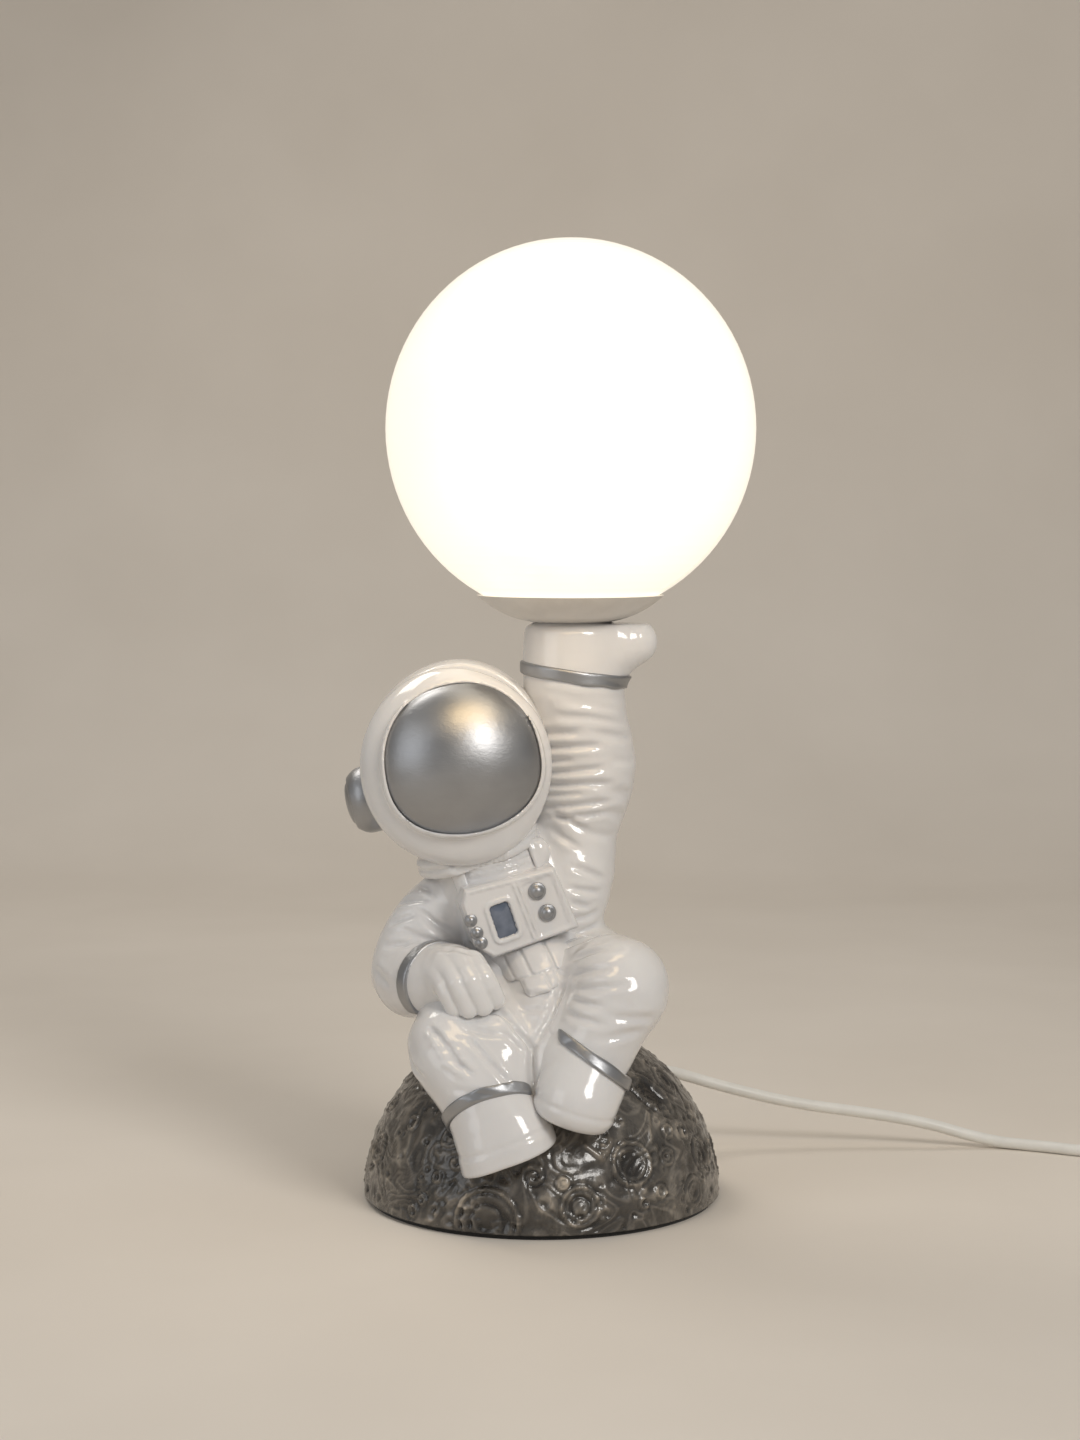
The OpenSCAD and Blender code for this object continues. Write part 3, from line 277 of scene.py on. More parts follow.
cord_d = 0.005
outlet_turn = math.radians(55)
relief_end = 0.0850624
outlet = np.array([math.cos(outlet_turn), math.sin(outlet_turn), 0.0])
tail = outlet * relief_end + (0, 0, 0.035)
run_points = [tail, outlet * (relief_end + 0.003) + (0, 0, 0.035),
              (0.057, 0.0762, 0.034), (0.066, 0.0792, 0.031), (0.076, 0.0805, 0.0278),
              (0.09, 0.081, 0.024), (0.105, 0.081, 0.0205), (0.122, 0.081, 0.0175),
              (0.14, 0.0805, 0.0152), (0.158, 0.0795, 0.0126), (0.174, 0.0785, 0.0094),
              (0.189, 0.0772, 0.0054), (0.202, 0.075, 0.003), (0.213, 0.0715, 0.0025),
              (0.224, 0.0665, 0.0025), (0.234, 0.0615, 0.0025), (0.243, 0.058, 0.0036),
              (0.251, 0.0564, 0.0058), (0.258, 0.056, 0.007), (0.262, 0.056, 0.007)]
run_line = smooth_line(run_points, 5)
cord_to_switch = cord_tube("cord_to_switch", run_line, cord_d / 2, 14, cord_plastic)
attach(cord_to_switch, "lamp")
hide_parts("cord_run")

coil_x, coil_y, coil_r, coil_inner_r = 0.31, -0.004, 0.04, 0.0205
coil_low, coil_layer, coil_turns = 0.0034, 0.0055, 7
bend = 0.02
lead_points = [(0.326, 0.056, 0.007)]
lead_points += [(coil_x + coil_r - bend + bend * math.cos(math.radians(a)),
                 0.056 - bend + bend * math.sin(math.radians(a)), 0.0025 + 0.0045 * (a / 90) ** 2)
                for a in (90, 67.5, 45, 22.5, 0)]
lead_points += [(0.35, 0.024, 0.0025), (0.35, 0.012, coil_low), (0.35, 0.007, coil_low),
                (0.35, 0.002, coil_low)]
lead_line = smooth_line(lead_points, 4)


def coil_point(angle):
    """A point of the winding, in towards its middle on the table and out again on top."""
    reach = 180.0 * coil_turns
    r = coil_inner_r + (coil_r - coil_inner_r) * abs(angle - reach) / reach
    t = min(max((angle - reach + 90) / 180, 0), 1)
    a = math.radians(angle)
    return (coil_x + r * math.cos(a), coil_y - r * math.sin(a),
            coil_low + coil_layer * t * t * (3 - 2 * t))


wound = [coil_point(9.0 * i) for i in range(1, 40 * coil_turns)]
top = coil_low + coil_layer
wound_line = np.array([*lead_line, (0.35, coil_y + 0.001, coil_low), *wound,
                       (0.35, coil_y - 0.001, top), (0.35, coil_y - 0.014, top),
                       (0.35, coil_y - 0.027, top), (0.35, coil_y - 0.032, top)])
cord_wound = cord_tube("cord_wound", wound_line, cord_d / 2, 10, cord_plastic)
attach(cord_wound, "lamp")
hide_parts("cord_lead", "cord_coil")

# ---- Rock ----
# A hollow cast dome in dark brown-grey glaze: patina darkens its hollows and painted highlight
# lightens its raised edges. Round craters with raised rims, small rings, pits, curls and flow lines
# cover it, and it stands flat on its pad.
rock_r, rock_wall, rock_low = 73.0, 7.0, 2.0
# Each mark: degrees round and up, radius, rims, depth of floor, height of peak, length, lean.
marks = [(-58.6, 21.6, 8.2, (1.0, 0.72), 0.7, 0.0, 1.0, 0),
         (-77.9, 10.1, 7.2, (1.0, 0.7, 0.36), 0.6, 0.9, 1.0, 0),
         (-107.2, 5.0, 12.5, (1.0, 0.8, 0.45), 0.5, 0.0, 1.0, 0),
         (-36.4, 42.4, 6.2, (1.0, 0.74), 1.0, 0.0, 1.7, -62),
         (-162.3, 19.0, 5.6, (1.0, 0.6), 0.6, 0.0, 1.0, 0),
         (-83.2, 17.3, 2.1, (1.0,), 0.2, 0.8, 1.0, 0),
         (-145.0, 31.0, 2.6, (1.0,), 0.5, 0.3, 1.0, 0),
         (-134.1, 5.0, 2.0, (1.0,), 0.5, 0.0, 1.0, 0),
         (-125.9, 16.8, 1.7, (1.0,), 0.5, 0.0, 1.0, 0),
         (-130.6, 9.0, 1.5, (1.0,), 0.4, 0.0, 1.0, 0),
         (-38.9, 29.0, 2.4, (1.0,), 0.5, 0.4, 1.0, 0),
         (-43.3, 21.6, 3.0, (1.0, 0.5), 0.6, 0.0, 1.0, 0),
         (-49.0, 11.7, 2.4, (1.0,), 0.4, 0.5, 1.0, 0),
         (-32.8, 8.6, 5.2, (1.0, 0.62), 0.5, 0.0, 1.0, 0),
         (-56.3, 9.1, 1.8, (1.0,), 0.4, 0.4, 1.0, 0),
         (-123.0, 30.0, 3.6, (1.0, 0.55), 0.5, 0.0, 1.4, 40),
         (-150.0, 48.0, 6.0, (1.0, 0.7), 0.7, 0.0, 1.3, 20),
         (-22.0, 18.0, 6.4, (1.0, 0.7), 0.7, 0.6, 1.0, 0),
         (-18.0, 44.0, 5.0, (1.0, 0.6), 0.6, 0.0, 1.2, 70),
         (2.0, 12.0, 9.0, (1.0, 0.74), 0.8, 0.0, 1.0, 0),
         (28.0, 34.0, 7.6, (1.0, 0.7, 0.35), 0.7, 0.7, 1.0, 0),
         (84.0, 50.0, 7.0, (1.0, 0.7), 0.8, 0.0, 1.2, 10),
         (104.0, 15.0, 10.5, (1.0, 0.78), 0.8, 0.0, 1.0, 0),
         (138.0, 38.0, 8.4, (1.0, 0.7), 0.7, 0.8, 1.0, 0),
         (160.0, 10.0, 7.0, (1.0, 0.66), 0.7, 0.0, 1.0, 0),
         (178.0, 44.0, 6.0, (1.0, 0.7), 0.6, 0.0, 1.5, 30),
         (122.0, 66.0, 5.0, (1.0, 0.6), 0.6, 0.0, 1.0, 0),
         (40.0, 62.0, 5.4, (1.0, 0.6), 0.6, 0.0, 1.0, 0)]
# Each curl: degrees round and up, and size.
curls = [(-92.7, 19.6, 5.2), (-68.0, 27.5, 3.2), (-120.0, 22.0, 3.4), (-30.0, 27.0, 3.8),
         (-170.0, 33.0, 4.6), (12.0, 27.0, 4.2), (60.0, 22.0, 5.0), (128.0, 20.0, 4.4),
         (150.0, 56.0, 4.0), (90.0, 30.0, 3.6)]
# Each cut or ridge: degrees round and up of its two ends, and its height.
cuts = [((-126.5, 5.7), (-119.2, 16.4), -0.8), ((-75.0, 28.5), (-69.3, 24.0), 0.9),
        ((-69.3, 24.0), (-65.0, 29.5), 0.9), ((-45.0, 36.0), (-49.0, 27.0), 0.7),
        ((-142.0, 36.0), (-128.0, 44.0), -0.5), ((-100.0, 6.0), (-97.0, 1.8), -0.7),
        ((-20.0, 30.0), (-12.0, 40.0), -0.6), ((50.0, 8.0), (58.0, 16.0), -0.7),
        ((170.0, 22.0), (160.0, 30.0), 0.6)]
pit_count = 520
chance = np.random.default_rng(7)


def heading(turn, tilt):
    """The direction from the rock's middle at degrees round and up."""
    turn, tilt = np.radians(turn), np.radians(tilt)
    return np.stack([np.cos(tilt) * np.cos(turn), np.cos(tilt) * np.sin(turn), np.sin(tilt)], -1)


def spread(D, turn, tilt):
    """Distances in mm across and up from a mark's middle, and which points are near it."""
    centre = heading(turn, tilt)
    right = np.cross([0, 0, 1], centre)
    right /= np.linalg.norm(right)
    return rock_r * (D @ right), rock_r * (D @ np.cross(centre, right)), D @ centre > 0.75


def bell(x, width):
    """A smooth rise to 1 where x is 0, gone at about twice the width."""
    return np.exp(-(x / width) ** 2)


def rock_relief(D):
    """Height of the rock's surface over its plain dome, in mm, for unit directions."""
    h = np.zeros(len(D))
    for turn, tilt, r, rims, deep, peak, length, lean in marks:
        x, y, near = spread(D, turn, tilt)
        lean = math.radians(lean)
        x, y = x * math.cos(lean) + y * math.sin(lean), y * math.cos(lean) - x * math.sin(lean)
        away = np.hypot(x / length, y)
        near &= away < r + 5
        a = away[near]
        mark = -deep * np.clip(1.15 - (a / (r * 0.95)) ** 4, 0, 1)
        for i, rim in enumerate(rims):
            thick = 0.62 if r < 4 else 0.8
            mark += (0.85 - 0.2 * i) * bell(a - r * rim, thick)
            mark -= 0.45 * bell(a - r * rim - 1.9 * thick, thick)
        mark += peak * bell(a, 0.16 * r + 0.6)
        h[near] += mark
    for turn, tilt, size in curls:
        x, y, near = spread(D, turn, tilt)
        r = np.hypot(x, y)
        h += 0.6 * np.cos(np.arctan2(y, x) - 2.0 * r) * np.exp(-(r / size) ** 4) * near
    for start, end, deep in cuts:
        a, b = rock_r * heading(*start), rock_r * heading(*end)
        t = np.clip((D * rock_r - a) @ (b - a) / ((b - a) @ (b - a)), 0, 1)
        gap = np.linalg.norm(D * rock_r - a - t[:, None] * (b - a), axis=1)
        h += deep * bell(gap, 0.8)
    places = heading(chance.uniform(-180, 180, pit_count),
                     np.degrees(np.arcsin(chance.uniform(0.04, 0.97, pit_count))))
    sizes = chance.uniform(0.9, 2.6, pit_count)
    kinds = chance.uniform(0, 1, pit_count)
    for p, r, kind in zip(places, sizes, kinds):
        away = rock_r * np.arccos(np.clip(D @ p, -1, 1))
        near = away < 4 * r + 1
        a = away[near]
        if kind < 0.45:
            ringed = 0.42 * bell(a - r, 0.25 * r + 0.25)
            h[near] += ringed - 0.5 * bell(a, 0.6 * r)
        elif kind < 0.65:
            h[near] -= 0.7 * bell(a, 0.7 * r)
        else:
            h[near] += 0.6 * bell(a, 0.5 * r)
    rough = np.array([noise.fractal(Vector(d * 8), 1.0, 2.0, 4) for d in D])
    swirl = np.array([noise.noise(Vector(d * 4.5)) + 0.35 * noise.noise(Vector(d * 11)) for d in D])
    shift = np.array([5, 1, 2])
    strength = 0.5 + 1.6 * np.array([noise.noise(Vector(d * 3 + shift)) for d in D])
    lines = np.sin(46 * swirl) * np.clip(strength, 0, 1)
    return h + 0.5 * rough + 0.16 * lines


around, upward, coarser, crowding = 540, 164, 4, 1.06
low_tilt = math.degrees(math.asin(rock_low / rock_r))
tilts = low_tilt + (90 - low_tilt) * (np.arange(upward) / upward) ** crowding
turns = np.arange(around) * 360 / around
grid_turn, grid_tilt = np.meshgrid(turns, tilts)
D = heading(grid_turn.ravel(), grid_tilt.ravel())
height = rock_relief(D)
edge = np.clip((D[:, 2] * rock_r - rock_low) / 2.0, 0, 1)
height = np.where(height > 0.3, 0.3 + (height - 0.3) * (0.25 + 0.75 * edge), height)
height = height * (0.3 + 0.7 * edge)
skin_points = D * (rock_r + height)[:, None]
skin_points[:around, 2] = rock_low
inner_r = rock_r - rock_wall
inner_tilts = np.linspace(90, math.degrees(math.asin(rock_low / inner_r)), 40)[1:]
inner_turn, inner_tilt = np.meshgrid(turns[::coarser], inner_tilts)
inner_points = heading(inner_turn.ravel(), inner_tilt.ravel()) * inner_r
inner_points[-(around // coarser):, 2] = rock_low
verts = np.concatenate([skin_points, [[0, 0, rock_r]], [[0, 0, inner_r]], inner_points])
faces = []
for i in range(upward - 1):
    for j in range(around):
        k = (j + 1) % around
        faces.append((i * around + j, i * around + k, (i + 1) * around + k, (i + 1) * around + j))
crown = upward * around
for j in range(around):
    faces.append(((upward - 1) * around + j, (upward - 1) * around + (j + 1) % around, crown))
few, start = around // coarser, crown + 2
for j in range(few):
    k = (j + 1) % few
    faces.append((crown + 1, start + k, start + j))
for i in range(len(inner_tilts) - 2):
    for j in range(few):
        k = (j + 1) % few
        a, b = start + i * few, start + (i + 1) * few
        faces.append((a + j, a + k, b + k, b + j))
last = start + (len(inner_tilts) - 2) * few
ring = start + (len(inner_tilts) - 1) * few
for j in range(few):
    k = (j + 1) % few
    faces.append((last + j, last + k, ring + k, ring + j))
    for m in range(coarser):
        a, b = (coarser * j + m) % around, (coarser * j + m + 1) % around
        faces.append((ring + (j if m < coarser // 2 else k), b, a))
    faces.append((ring + j, ring + k, (coarser * j + coarser // 2) % around))
rock = piece("rock_glazed", verts / 1000, faces)
# Painted highlight and patina: a colour level from each point's relief height, high on ridges and
# low in hollows.
patina_and_highlight = rock.data.attributes.new("patina_and_highlight", "FLOAT", "POINT")
patina_and_highlight_levels = np.concatenate([np.clip(0.46 + height / 2.4, 0, 1),
                       np.full(len(verts) - len(height), 0.5)])
patina_and_highlight.data.foreach_set("value", [float(x) for x in patina_and_highlight_levels])

rock_glaze, tree, shader = surface("rock_glaze", (0.12, 0.105, 0.09), 0.2, Coat_Weight=0.5,
                                   Coat_Roughness=0.08)
cloud = pattern(tree, "Noise", 30.0, Detail=6.0, Roughness=0.62, Distortion=1.6)
base = ramp(tree, cloud.outputs["Fac"], (0.32, (0.06, 0.055, 0.049)), (0.5, (0.112, 0.1, 0.086)),
            (0.66, (0.175, 0.157, 0.132)))
attribute = tree.nodes.new("ShaderNodeAttribute")
attribute.attribute_name = "patina_and_highlight"
# Patina darkens the glaze in hollows; painted highlight lightens it up to 2.6 times on raised
# edges.
patina_and_highlight_tint = ramp(tree, attribute.outputs["Fac"], (0.2, (0.22, 0.2, 0.18)), (0.46, (0.86, 0.86, 0.86)),
            (0.62, (1.25, 1.23, 1.2)), (0.86, (2.6, 2.5, 2.35)))


def darkened(tree, colour, by):
    """One colour multiplied by another."""
    made = tree.nodes.new("ShaderNodeMix")
    made.data_type = "RGBA"
    made.blend_type = "MULTIPLY"
    made.inputs["Factor"].default_value = 1.0
    tree.links.new(colour, made.inputs["A"])
    tree.links.new(by, made.inputs["B"])
    return made.outputs["Result"]


swirl = pattern(tree, "Noise", 48.0, Detail=1.5, Roughness=0.45, Distortion=0.6)
flow_lines = 52.0
many = tree.nodes.new("ShaderNodeMath")
many.operation = "MULTIPLY"
many.inputs[1].default_value = flow_lines
wave = tree.nodes.new("ShaderNodeMath")
wave.operation = "SINE"
tree.links.new(swirl.outputs["Fac"], many.inputs[0])
tree.links.new(many.outputs["Value"], wave.inputs[0])
lines = ramp(tree, wave.outputs["Value"], (0.0, grey(0.66)), (0.55, grey(0.95)), (0.95, grey(1.32)))
tree.links.new(darkened(tree, darkened(tree, base, patina_and_highlight_tint), lines), shader.inputs["Base Color"])
vary(tree, shader, "Roughness", cloud.outputs["Fac"], (0.35, grey(0.16)), (0.7, grey(0.34)))
fine = relief(tree, shader, wave.outputs["Value"], 0.22, 0.0006)
lumpy = pattern(tree, "Noise", 150.0, Detail=5.0, Roughness=0.6)
lumps = relief(tree, shader, lumpy.outputs["Fac"], 0.4, 0.001, fine)
pits = pattern(tree, "Voronoi", 230.0)
relief(tree, shader, ramp(tree, pits.outputs["Distance"], (0.1, grey(0.0)), (0.45, grey(1.0))), 0.2,
       0.0005, lumps)
rock.data.materials.append(rock_glaze)
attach(rock, "lamp")
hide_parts("moon_rock")

# ---- Suit casting ----
# The suited figure, slip-cast in white glazed earthenware in several moulds and joined before
# glazing, so the glaze runs over every joint. Folds, fingers and seams are soft, as cast.
pelvis = np.array([-3.5, 2.0, 84.0])


def turned(x, y, z):
    """The turn about X, then Y, then Z, in degrees."""
    x, y, z = (math.radians(a) for a in (x, y, z))
    X = np.array([[1, 0, 0], [0, math.cos(x), -math.sin(x)], [0, math.sin(x), math.cos(x)]])
    Y = np.array([[math.cos(y), 0, math.sin(y)], [0, 1, 0], [-math.sin(y), 0, math.cos(y)]])
    Z = np.array([[math.cos(z), -math.sin(z), 0], [math.sin(z), math.cos(z), 0], [0, 0, 1]])
    return Z @ Y @ X


torso_turn = turned(4.6, -18, 0) @ turned(0, 0, 10)


def in_torso(P):
    """Points in the torso's own frame: x to its left, y to its back, z up its spine."""
    return ((P - pelvis) @ torso_turn).astype(np.float32)


def from_torso(p):
    """A place in the torso's frame, back on the table's axes."""
    return pelvis + torso_turn @ np.asarray(p, float)


def melt(a, b, k):
    """Two bodies of clay joined with a soft fillet of about k mm."""
    h = np.clip(0.5 + 0.5 * (b - a) / k, 0, 1)
    return b * (1 - h) + a * h - k * h * (1 - h)


def carve(a, b, k):
    """a with b taken away, and a soft edge."""
    return -melt(-a, b, k)


def roll(P, stations, steps=3, bend=0.0):
    """A rolled body of clay through stations of place and radius."""
    S = smooth_line(stations, steps).astype(np.float32)
    out = None
    for a, b in zip(S[:-1], S[1:]):
        along = b[:3] - a[:3]
        t = np.clip(((P - a[:3]) @ along) / max(float(along @ along), 1e-6), 0, 1)
        d = np.linalg.norm(P - a[:3] - t[:, None] * along, axis=1) - (a[3] + t * (b[3] - a[3]))
        out = d if out is None else (np.minimum(out, d) if bend == 0 else melt(out, d, bend))
    return out


def slab(p, w, h, round_r):
    """Distance to a rounded rectangle in a plane, for columns x and y."""
    q = np.abs(p) - (w / 2 - round_r, h / 2 - round_r)
    outside = np.linalg.norm(np.maximum(q, 0), axis=1)
    return outside + np.minimum(np.maximum(q[:, 0], q[:, 1]), 0) - round_r


def block(p, size, round_r):
    """Distance to a block with rounded edges."""
    q = np.abs(p) - (np.array(size, np.float32) / 2 - round_r)
    return np.linalg.norm(np.maximum(q, 0), axis=1) + np.minimum(q.max(1), 0) - round_r


def fold(P, start, end, out, width, depth, shoulder=0.5):
    """A pressed fold between two points on the suit: a groove with softly raised sides."""
    start, end = np.asarray(start, float), np.asarray(end, float)
    along = end - start
    length = np.linalg.norm(along)
    along = along / length
    out = np.asarray(out, float)
    out = out - out.dot(along) * along
    out /= np.linalg.norm(out)
    across = np.cross(along, out)
    d = P - (start + end) / 2
    u, v, w = d @ along, d @ across, d @ out
    fade = np.exp(-(2 * u / length) ** 4) * bell(w, 9)
    return depth * fade * (bell(v, width) - shoulder * bell(np.abs(v) - 1.7 * width, width))


def skin(name, field, low, high, step, material):
    """The outer skin of a body of clay, as a closed mesh of small even quads."""
    low, high = np.asarray(low, float), np.asarray(high, float)
    n = np.ceil((high - low) / step).astype(int) + 1
    coarse = 4
    m = np.ceil((n - 1) / coarse).astype(int) + 1
    axes = [low[i] + step * coarse * np.arange(m[i]) for i in range(3)]
    G = np.stack(np.meshgrid(*axes, indexing="ij"), -1).reshape(-1, 3).astype(np.float32)
    rough = field(G).reshape(m)
    fine = rough
    for axis in range(3):
        pos = np.arange(n[axis]) / coarse
        i0 = np.minimum(pos.astype(int), m[axis] - 2)
        t = (pos - i0).reshape([-1 if a == axis else 1 for a in range(3)]).astype(np.float32)
        fine = np.take(fine, i0, axis) * (1 - t) + np.take(fine, i0 + 1, axis) * t
    near = np.abs(fine) < step * coarse * 1.5
    where = np.argwhere(near)
    f = fine.astype(np.float32)
    f[near] = field((low + step * where).astype(np.float32))
    f[0], f[-1], f[:, 0], f[:, -1], f[:, :, 0], f[:, :, -1] = [step] * 6
    inside = f < 0
    cells = tuple(x - 1 for x in f.shape)
    total = np.zeros((*cells, 3), np.float32)
    count = np.zeros(cells, np.int8)
    for axis in range(3):
        others = [a for a in range(3) if a != axis]
        for da in (0, 1):
            for db in (0, 1):
                a_slice, b_slice = [None] * 3, [None] * 3
                a_slice[axis], b_slice[axis] = slice(0, -1), slice(1, None)
                for o, d in zip(others, (da, db)):
                    a_slice[o] = b_slice[o] = slice(d, f.shape[o] - 1 + d)
                fa, fb = f[tuple(a_slice)], f[tuple(b_slice)]
                hit = (fa < 0) != (fb < 0)
                t = np.where(hit, fa / np.where(hit, fa - fb, 1), 0)
                total[..., axis] += np.where(hit, t, 0)
                total[..., others[0]] += np.where(hit, da, 0)
                total[..., others[1]] += np.where(hit, db, 0)
                count += hit
    live = count > 0
    number = -np.ones(cells, np.int64)
    number[live] = np.arange(live.sum())
    V = low + step * (np.argwhere(live) + total[live] / count[live][:, None])
    quads = []
    for axis in range(3):
        o1, o2 = [(1, 2), (2, 0), (0, 1)][axis]
        a_slice, b_slice = [slice(1, -1)] * 3, [slice(1, -1)] * 3
        a_slice[axis], b_slice[axis] = slice(0, -1), slice(1, None)
        ina, inb = inside[tuple(a_slice)], inside[tuple(b_slice)]
        for flip, mask in ((False, ina & ~inb), (True, ~ina & inb)):
            at = np.argwhere(mask) + [0 if a == axis else 1 for a in range(3)]
            corners = []
            for d1, d2 in ((0, 0), (1, 0), (1, 1), (0, 1)):
                c = at.copy()
                c[:, o1] -= 1 - d1
                c[:, o2] -= 1 - d2
                corners.append(number[c[:, 0], c[:, 1], c[:, 2]])
            q = np.stack(corners, 1)
            quads.append(q[:, ::-1] if flip else q)
    Q = np.concatenate(quads)
    Q = Q[(Q >= 0).all(1)]
    passes, e = 2, 0.15
    for _ in range(passes):
        f0 = field(V.astype(np.float32))
        g = np.stack([(field((V + np.eye(3)[i] * e).astype(np.float32))
                       - field((V - np.eye(3)[i] * e).astype(np.float32)))
                      / (2 * e) for i in range(3)], 1)
        size = np.maximum((g ** 2).sum(1), 0.2)
        V = V - np.clip(f0 / size, -step * 0.6, step * 0.6)[:, None] * g
    return piece(name, V / 1000, [tuple(q) for q in Q.tolist()], material)


white_glaze, tree, shader = surface("white_glaze", (0.74, 0.732, 0.73), 0.11, Coat_Weight=0.35,
                                    Coat_Roughness=0.04)
shader.inputs["Subsurface Weight"].default_value = 0.08
shader.inputs["Subsurface Radius"].default_value = (0.004, 0.003, 0.0022)
pool = pattern(tree, "Noise", 22.0, Detail=4.0, Roughness=0.55)
vary(tree, shader, "Base Color", pool.outputs["Fac"], (0.3, (0.7, 0.69, 0.69)),
     (0.55, (0.745, 0.737, 0.735)), (0.75, (0.77, 0.765, 0.76)))
vary(tree, shader, "Roughness", pool.outputs["Fac"], (0.3, grey(0.08)), (0.7, grey(0.16)))
soft = relief(tree, shader, pattern(tree, "Noise", 70.0, Detail=2.0, Roughness=0.5).outputs["Fac"],
              0.22, 0.0012)
relief(tree, shader, pattern(tree, "Noise", 600.0, Detail=2.0).outputs["Fac"], 0.04, 0.0003, soft)

arm_r, elbow_r, wrist_r = 17.3, 21.2, 20.0
reach, palm_top = 150.9, 234.9
raised_path = [(11, 3, 36, arm_r + 1.5), (15, 5.5, 50, arm_r + 1.2), (17.3, 8, 66, arm_r),
               (19.6, 8, 80, elbow_r - 1.4), (20.9, 8, 93, elbow_r), (18.4, 5.5, 110, elbow_r - 1),
               (16.6, 4, reach - 26, wrist_r + 0.4), (16.2, 4, reach - 12, wrist_r)]
palm_path = [(16.2, 4, reach - 34, wrist_r + 0.3), (16.2, 4, reach - 24, wrist_r + 0.1),
             (16.2, 4, reach - 19, wrist_r + 0.1)]
thumb_path = [(20, 3, reach - 15, 15.5), (28, 2.5, reach - 11.5, 13.5), (35, 2, reach - 8.8, 12),
              (41, 1.6, reach - 7.6, 9.6)]
lowered_path = [(-24, -1, 40, 13), (-36, -2, 34, 14.9), (-45, -6, 22, 16.2), (-48.5, -11, 9.5, 17),
                (-44, -22, 8.6, 15.3), (-38.5, -30, 8.8, 14.4)]
glove_path = [(-43, -22, 9.4, 14), (-37.5, -30, 11, 13.4), (-31.5, -38, 12.6, 12.4),
              (-26, -43, 12, 10.4)]
right_path = [(-10, -4, 1, 16.4), (-22, -24, -3, 16.8), (-33, -44, -13.5, 16.2),
              (-25.5, -53.5, -25, 15.7), (-16.4, -57.8, -37, 15.5)]
right_inner = [(-12.5, -32, -8, 15), (-14.5, -46, -14, 15), (-14.5, -52, -22, 14.8),
               (-15.5, -57, -32, 15.2), (-15.9, -57.5, -38, 15.4)]
right_boot_path = [(-17.5, -57, -33, 15.6), (-14, -59, -42, 17.2), (-9.5, -60.5, -50, 18.2),
                   (-7.5, -61.5, -56, 18.4), (-5, -62.8, -64, 18.4)]
right_corners = [(-17.4, -62, -40, 12.5), (-15.6, -66, -50, 12.6), (-14.8, -67.5, -56, 12.6),
                 (-13.8, -69, -65, 12.6)], [
                     (-10, -63, -38, 12.4), (-5.5, -66.5, -46, 12.6), (-3.4, -68, -52, 12.6),
                     (-1.4, -69.5, -60, 12.6)]
right_sole = ((-11.8, -60, 30.4), (0.35, 0, -0.937))
left_path = [(9, -3, 3, 16.8), (22, -22, 7.5, 17.6), (34.6, -44, 10, 18.8), (28.8, -50.5, -3, 16.4),
             (22.8, -53.5, -16, 15.6)]
left_inner = [(20, -38, -4, 14), (16.5, -48, -14, 13.6), (15, -53, -19, 13.5)]
left_boot_path = [(24, -53, -14, 15.6), (21.5, -58, -22, 15.6), (19, -63, -28.6, 15.2),
                  (17.4, -66.4, -33, 15)]
left_toe_path = [(20, -58.5, -24, 13.4), (14.4, -62, -28, 12), (13, -64.5, -32, 11.6)]
left_sole = ((12, -62, 43.2), (-0.29, 0, -0.957))
seams = {"raised": ((16.3, 4, reach - 21), (0.14, 0, 1)),
         "lowered": ((-38.6, -28.4, 9), (0.54, -0.84, 0.05)),
         "right": ((-15.9, -57, -37.3), (0.28, -0.56, -0.78)),
         "left": ((23.2, -53, -17.2), (-0.59, -0.16, -0.807))}


def past_seam(P, limb):
    """How far a point lies beyond a limb's seam, towards the hand or foot."""
    at, square = (np.asarray(v, float) for v in seams[limb])
    square = square / np.linalg.norm(square)
    return ((P - pelvis - at) @ square).astype(np.float32)


def rock_clay(P):
    """The rock's plain dome, which the figure's castings stop at."""
    return np.linalg.norm(P, axis=1) - rock_r


helmet_at = np.array([-34.0, -8.0, 179.0])
helmet_turn = turned(-7, -12, 0) @ turned(0, 0, 5)
helmet_r = 40.4
shell_at = helmet_at + (2.35, 8.0, 1.2)
ring_at = helmet_at + (1.2, -12.0, -0.4)
ring_r, ring_thick = 29.3, 10.5


def in_helmet(P):
    """Points in the helmet's own frame."""
    return ((P - helmet_at) @ helmet_turn).astype(np.float32)


def beside_arm(Q, squeeze):
    """Narrows the helmet on the side where the raised arm presses on it."""
    Q[:, 0] *= np.where(Q[:, 0] > 0, squeeze, 1.0)
    return Q


def shell_clay(P):
    """The helmet's round rear shell."""
    return (np.linalg.norm(beside_arm((P - shell_at) @ helmet_turn, 1.13), axis=1)
            - helmet_r).astype(np.float32)


def front_ring(P):
    """The fat rolled ring round the helmet's face."""
    Q = beside_arm((P - ring_at) @ helmet_turn, 1.11)
    return (np.hypot(np.hypot(Q[:, 0], Q[:, 2]) - ring_r, Q[:, 1]) - ring_thick).astype(np.float32)


def helmet_clay(P):
    """Shell and ring together, which the pieces round the helmet stop at."""
    return np.minimum(shell_clay(P), front_ring(P))


def creases(P, folds):
    """All the pressed folds of a limb: start, end, which way is out, width and depth."""
    total = np.zeros(len(P), np.float32)
    for start, end, out, width, depth in folds:
        start, end = np.array(start, np.float32), np.array(end, np.float32)
        near = ((P - (start + end) / 2) ** 2).sum(1) < (0.7 * np.linalg.norm(end - start) + 8) ** 2
        total[near] += fold(P[near], start, end, out, width, depth)
    return total


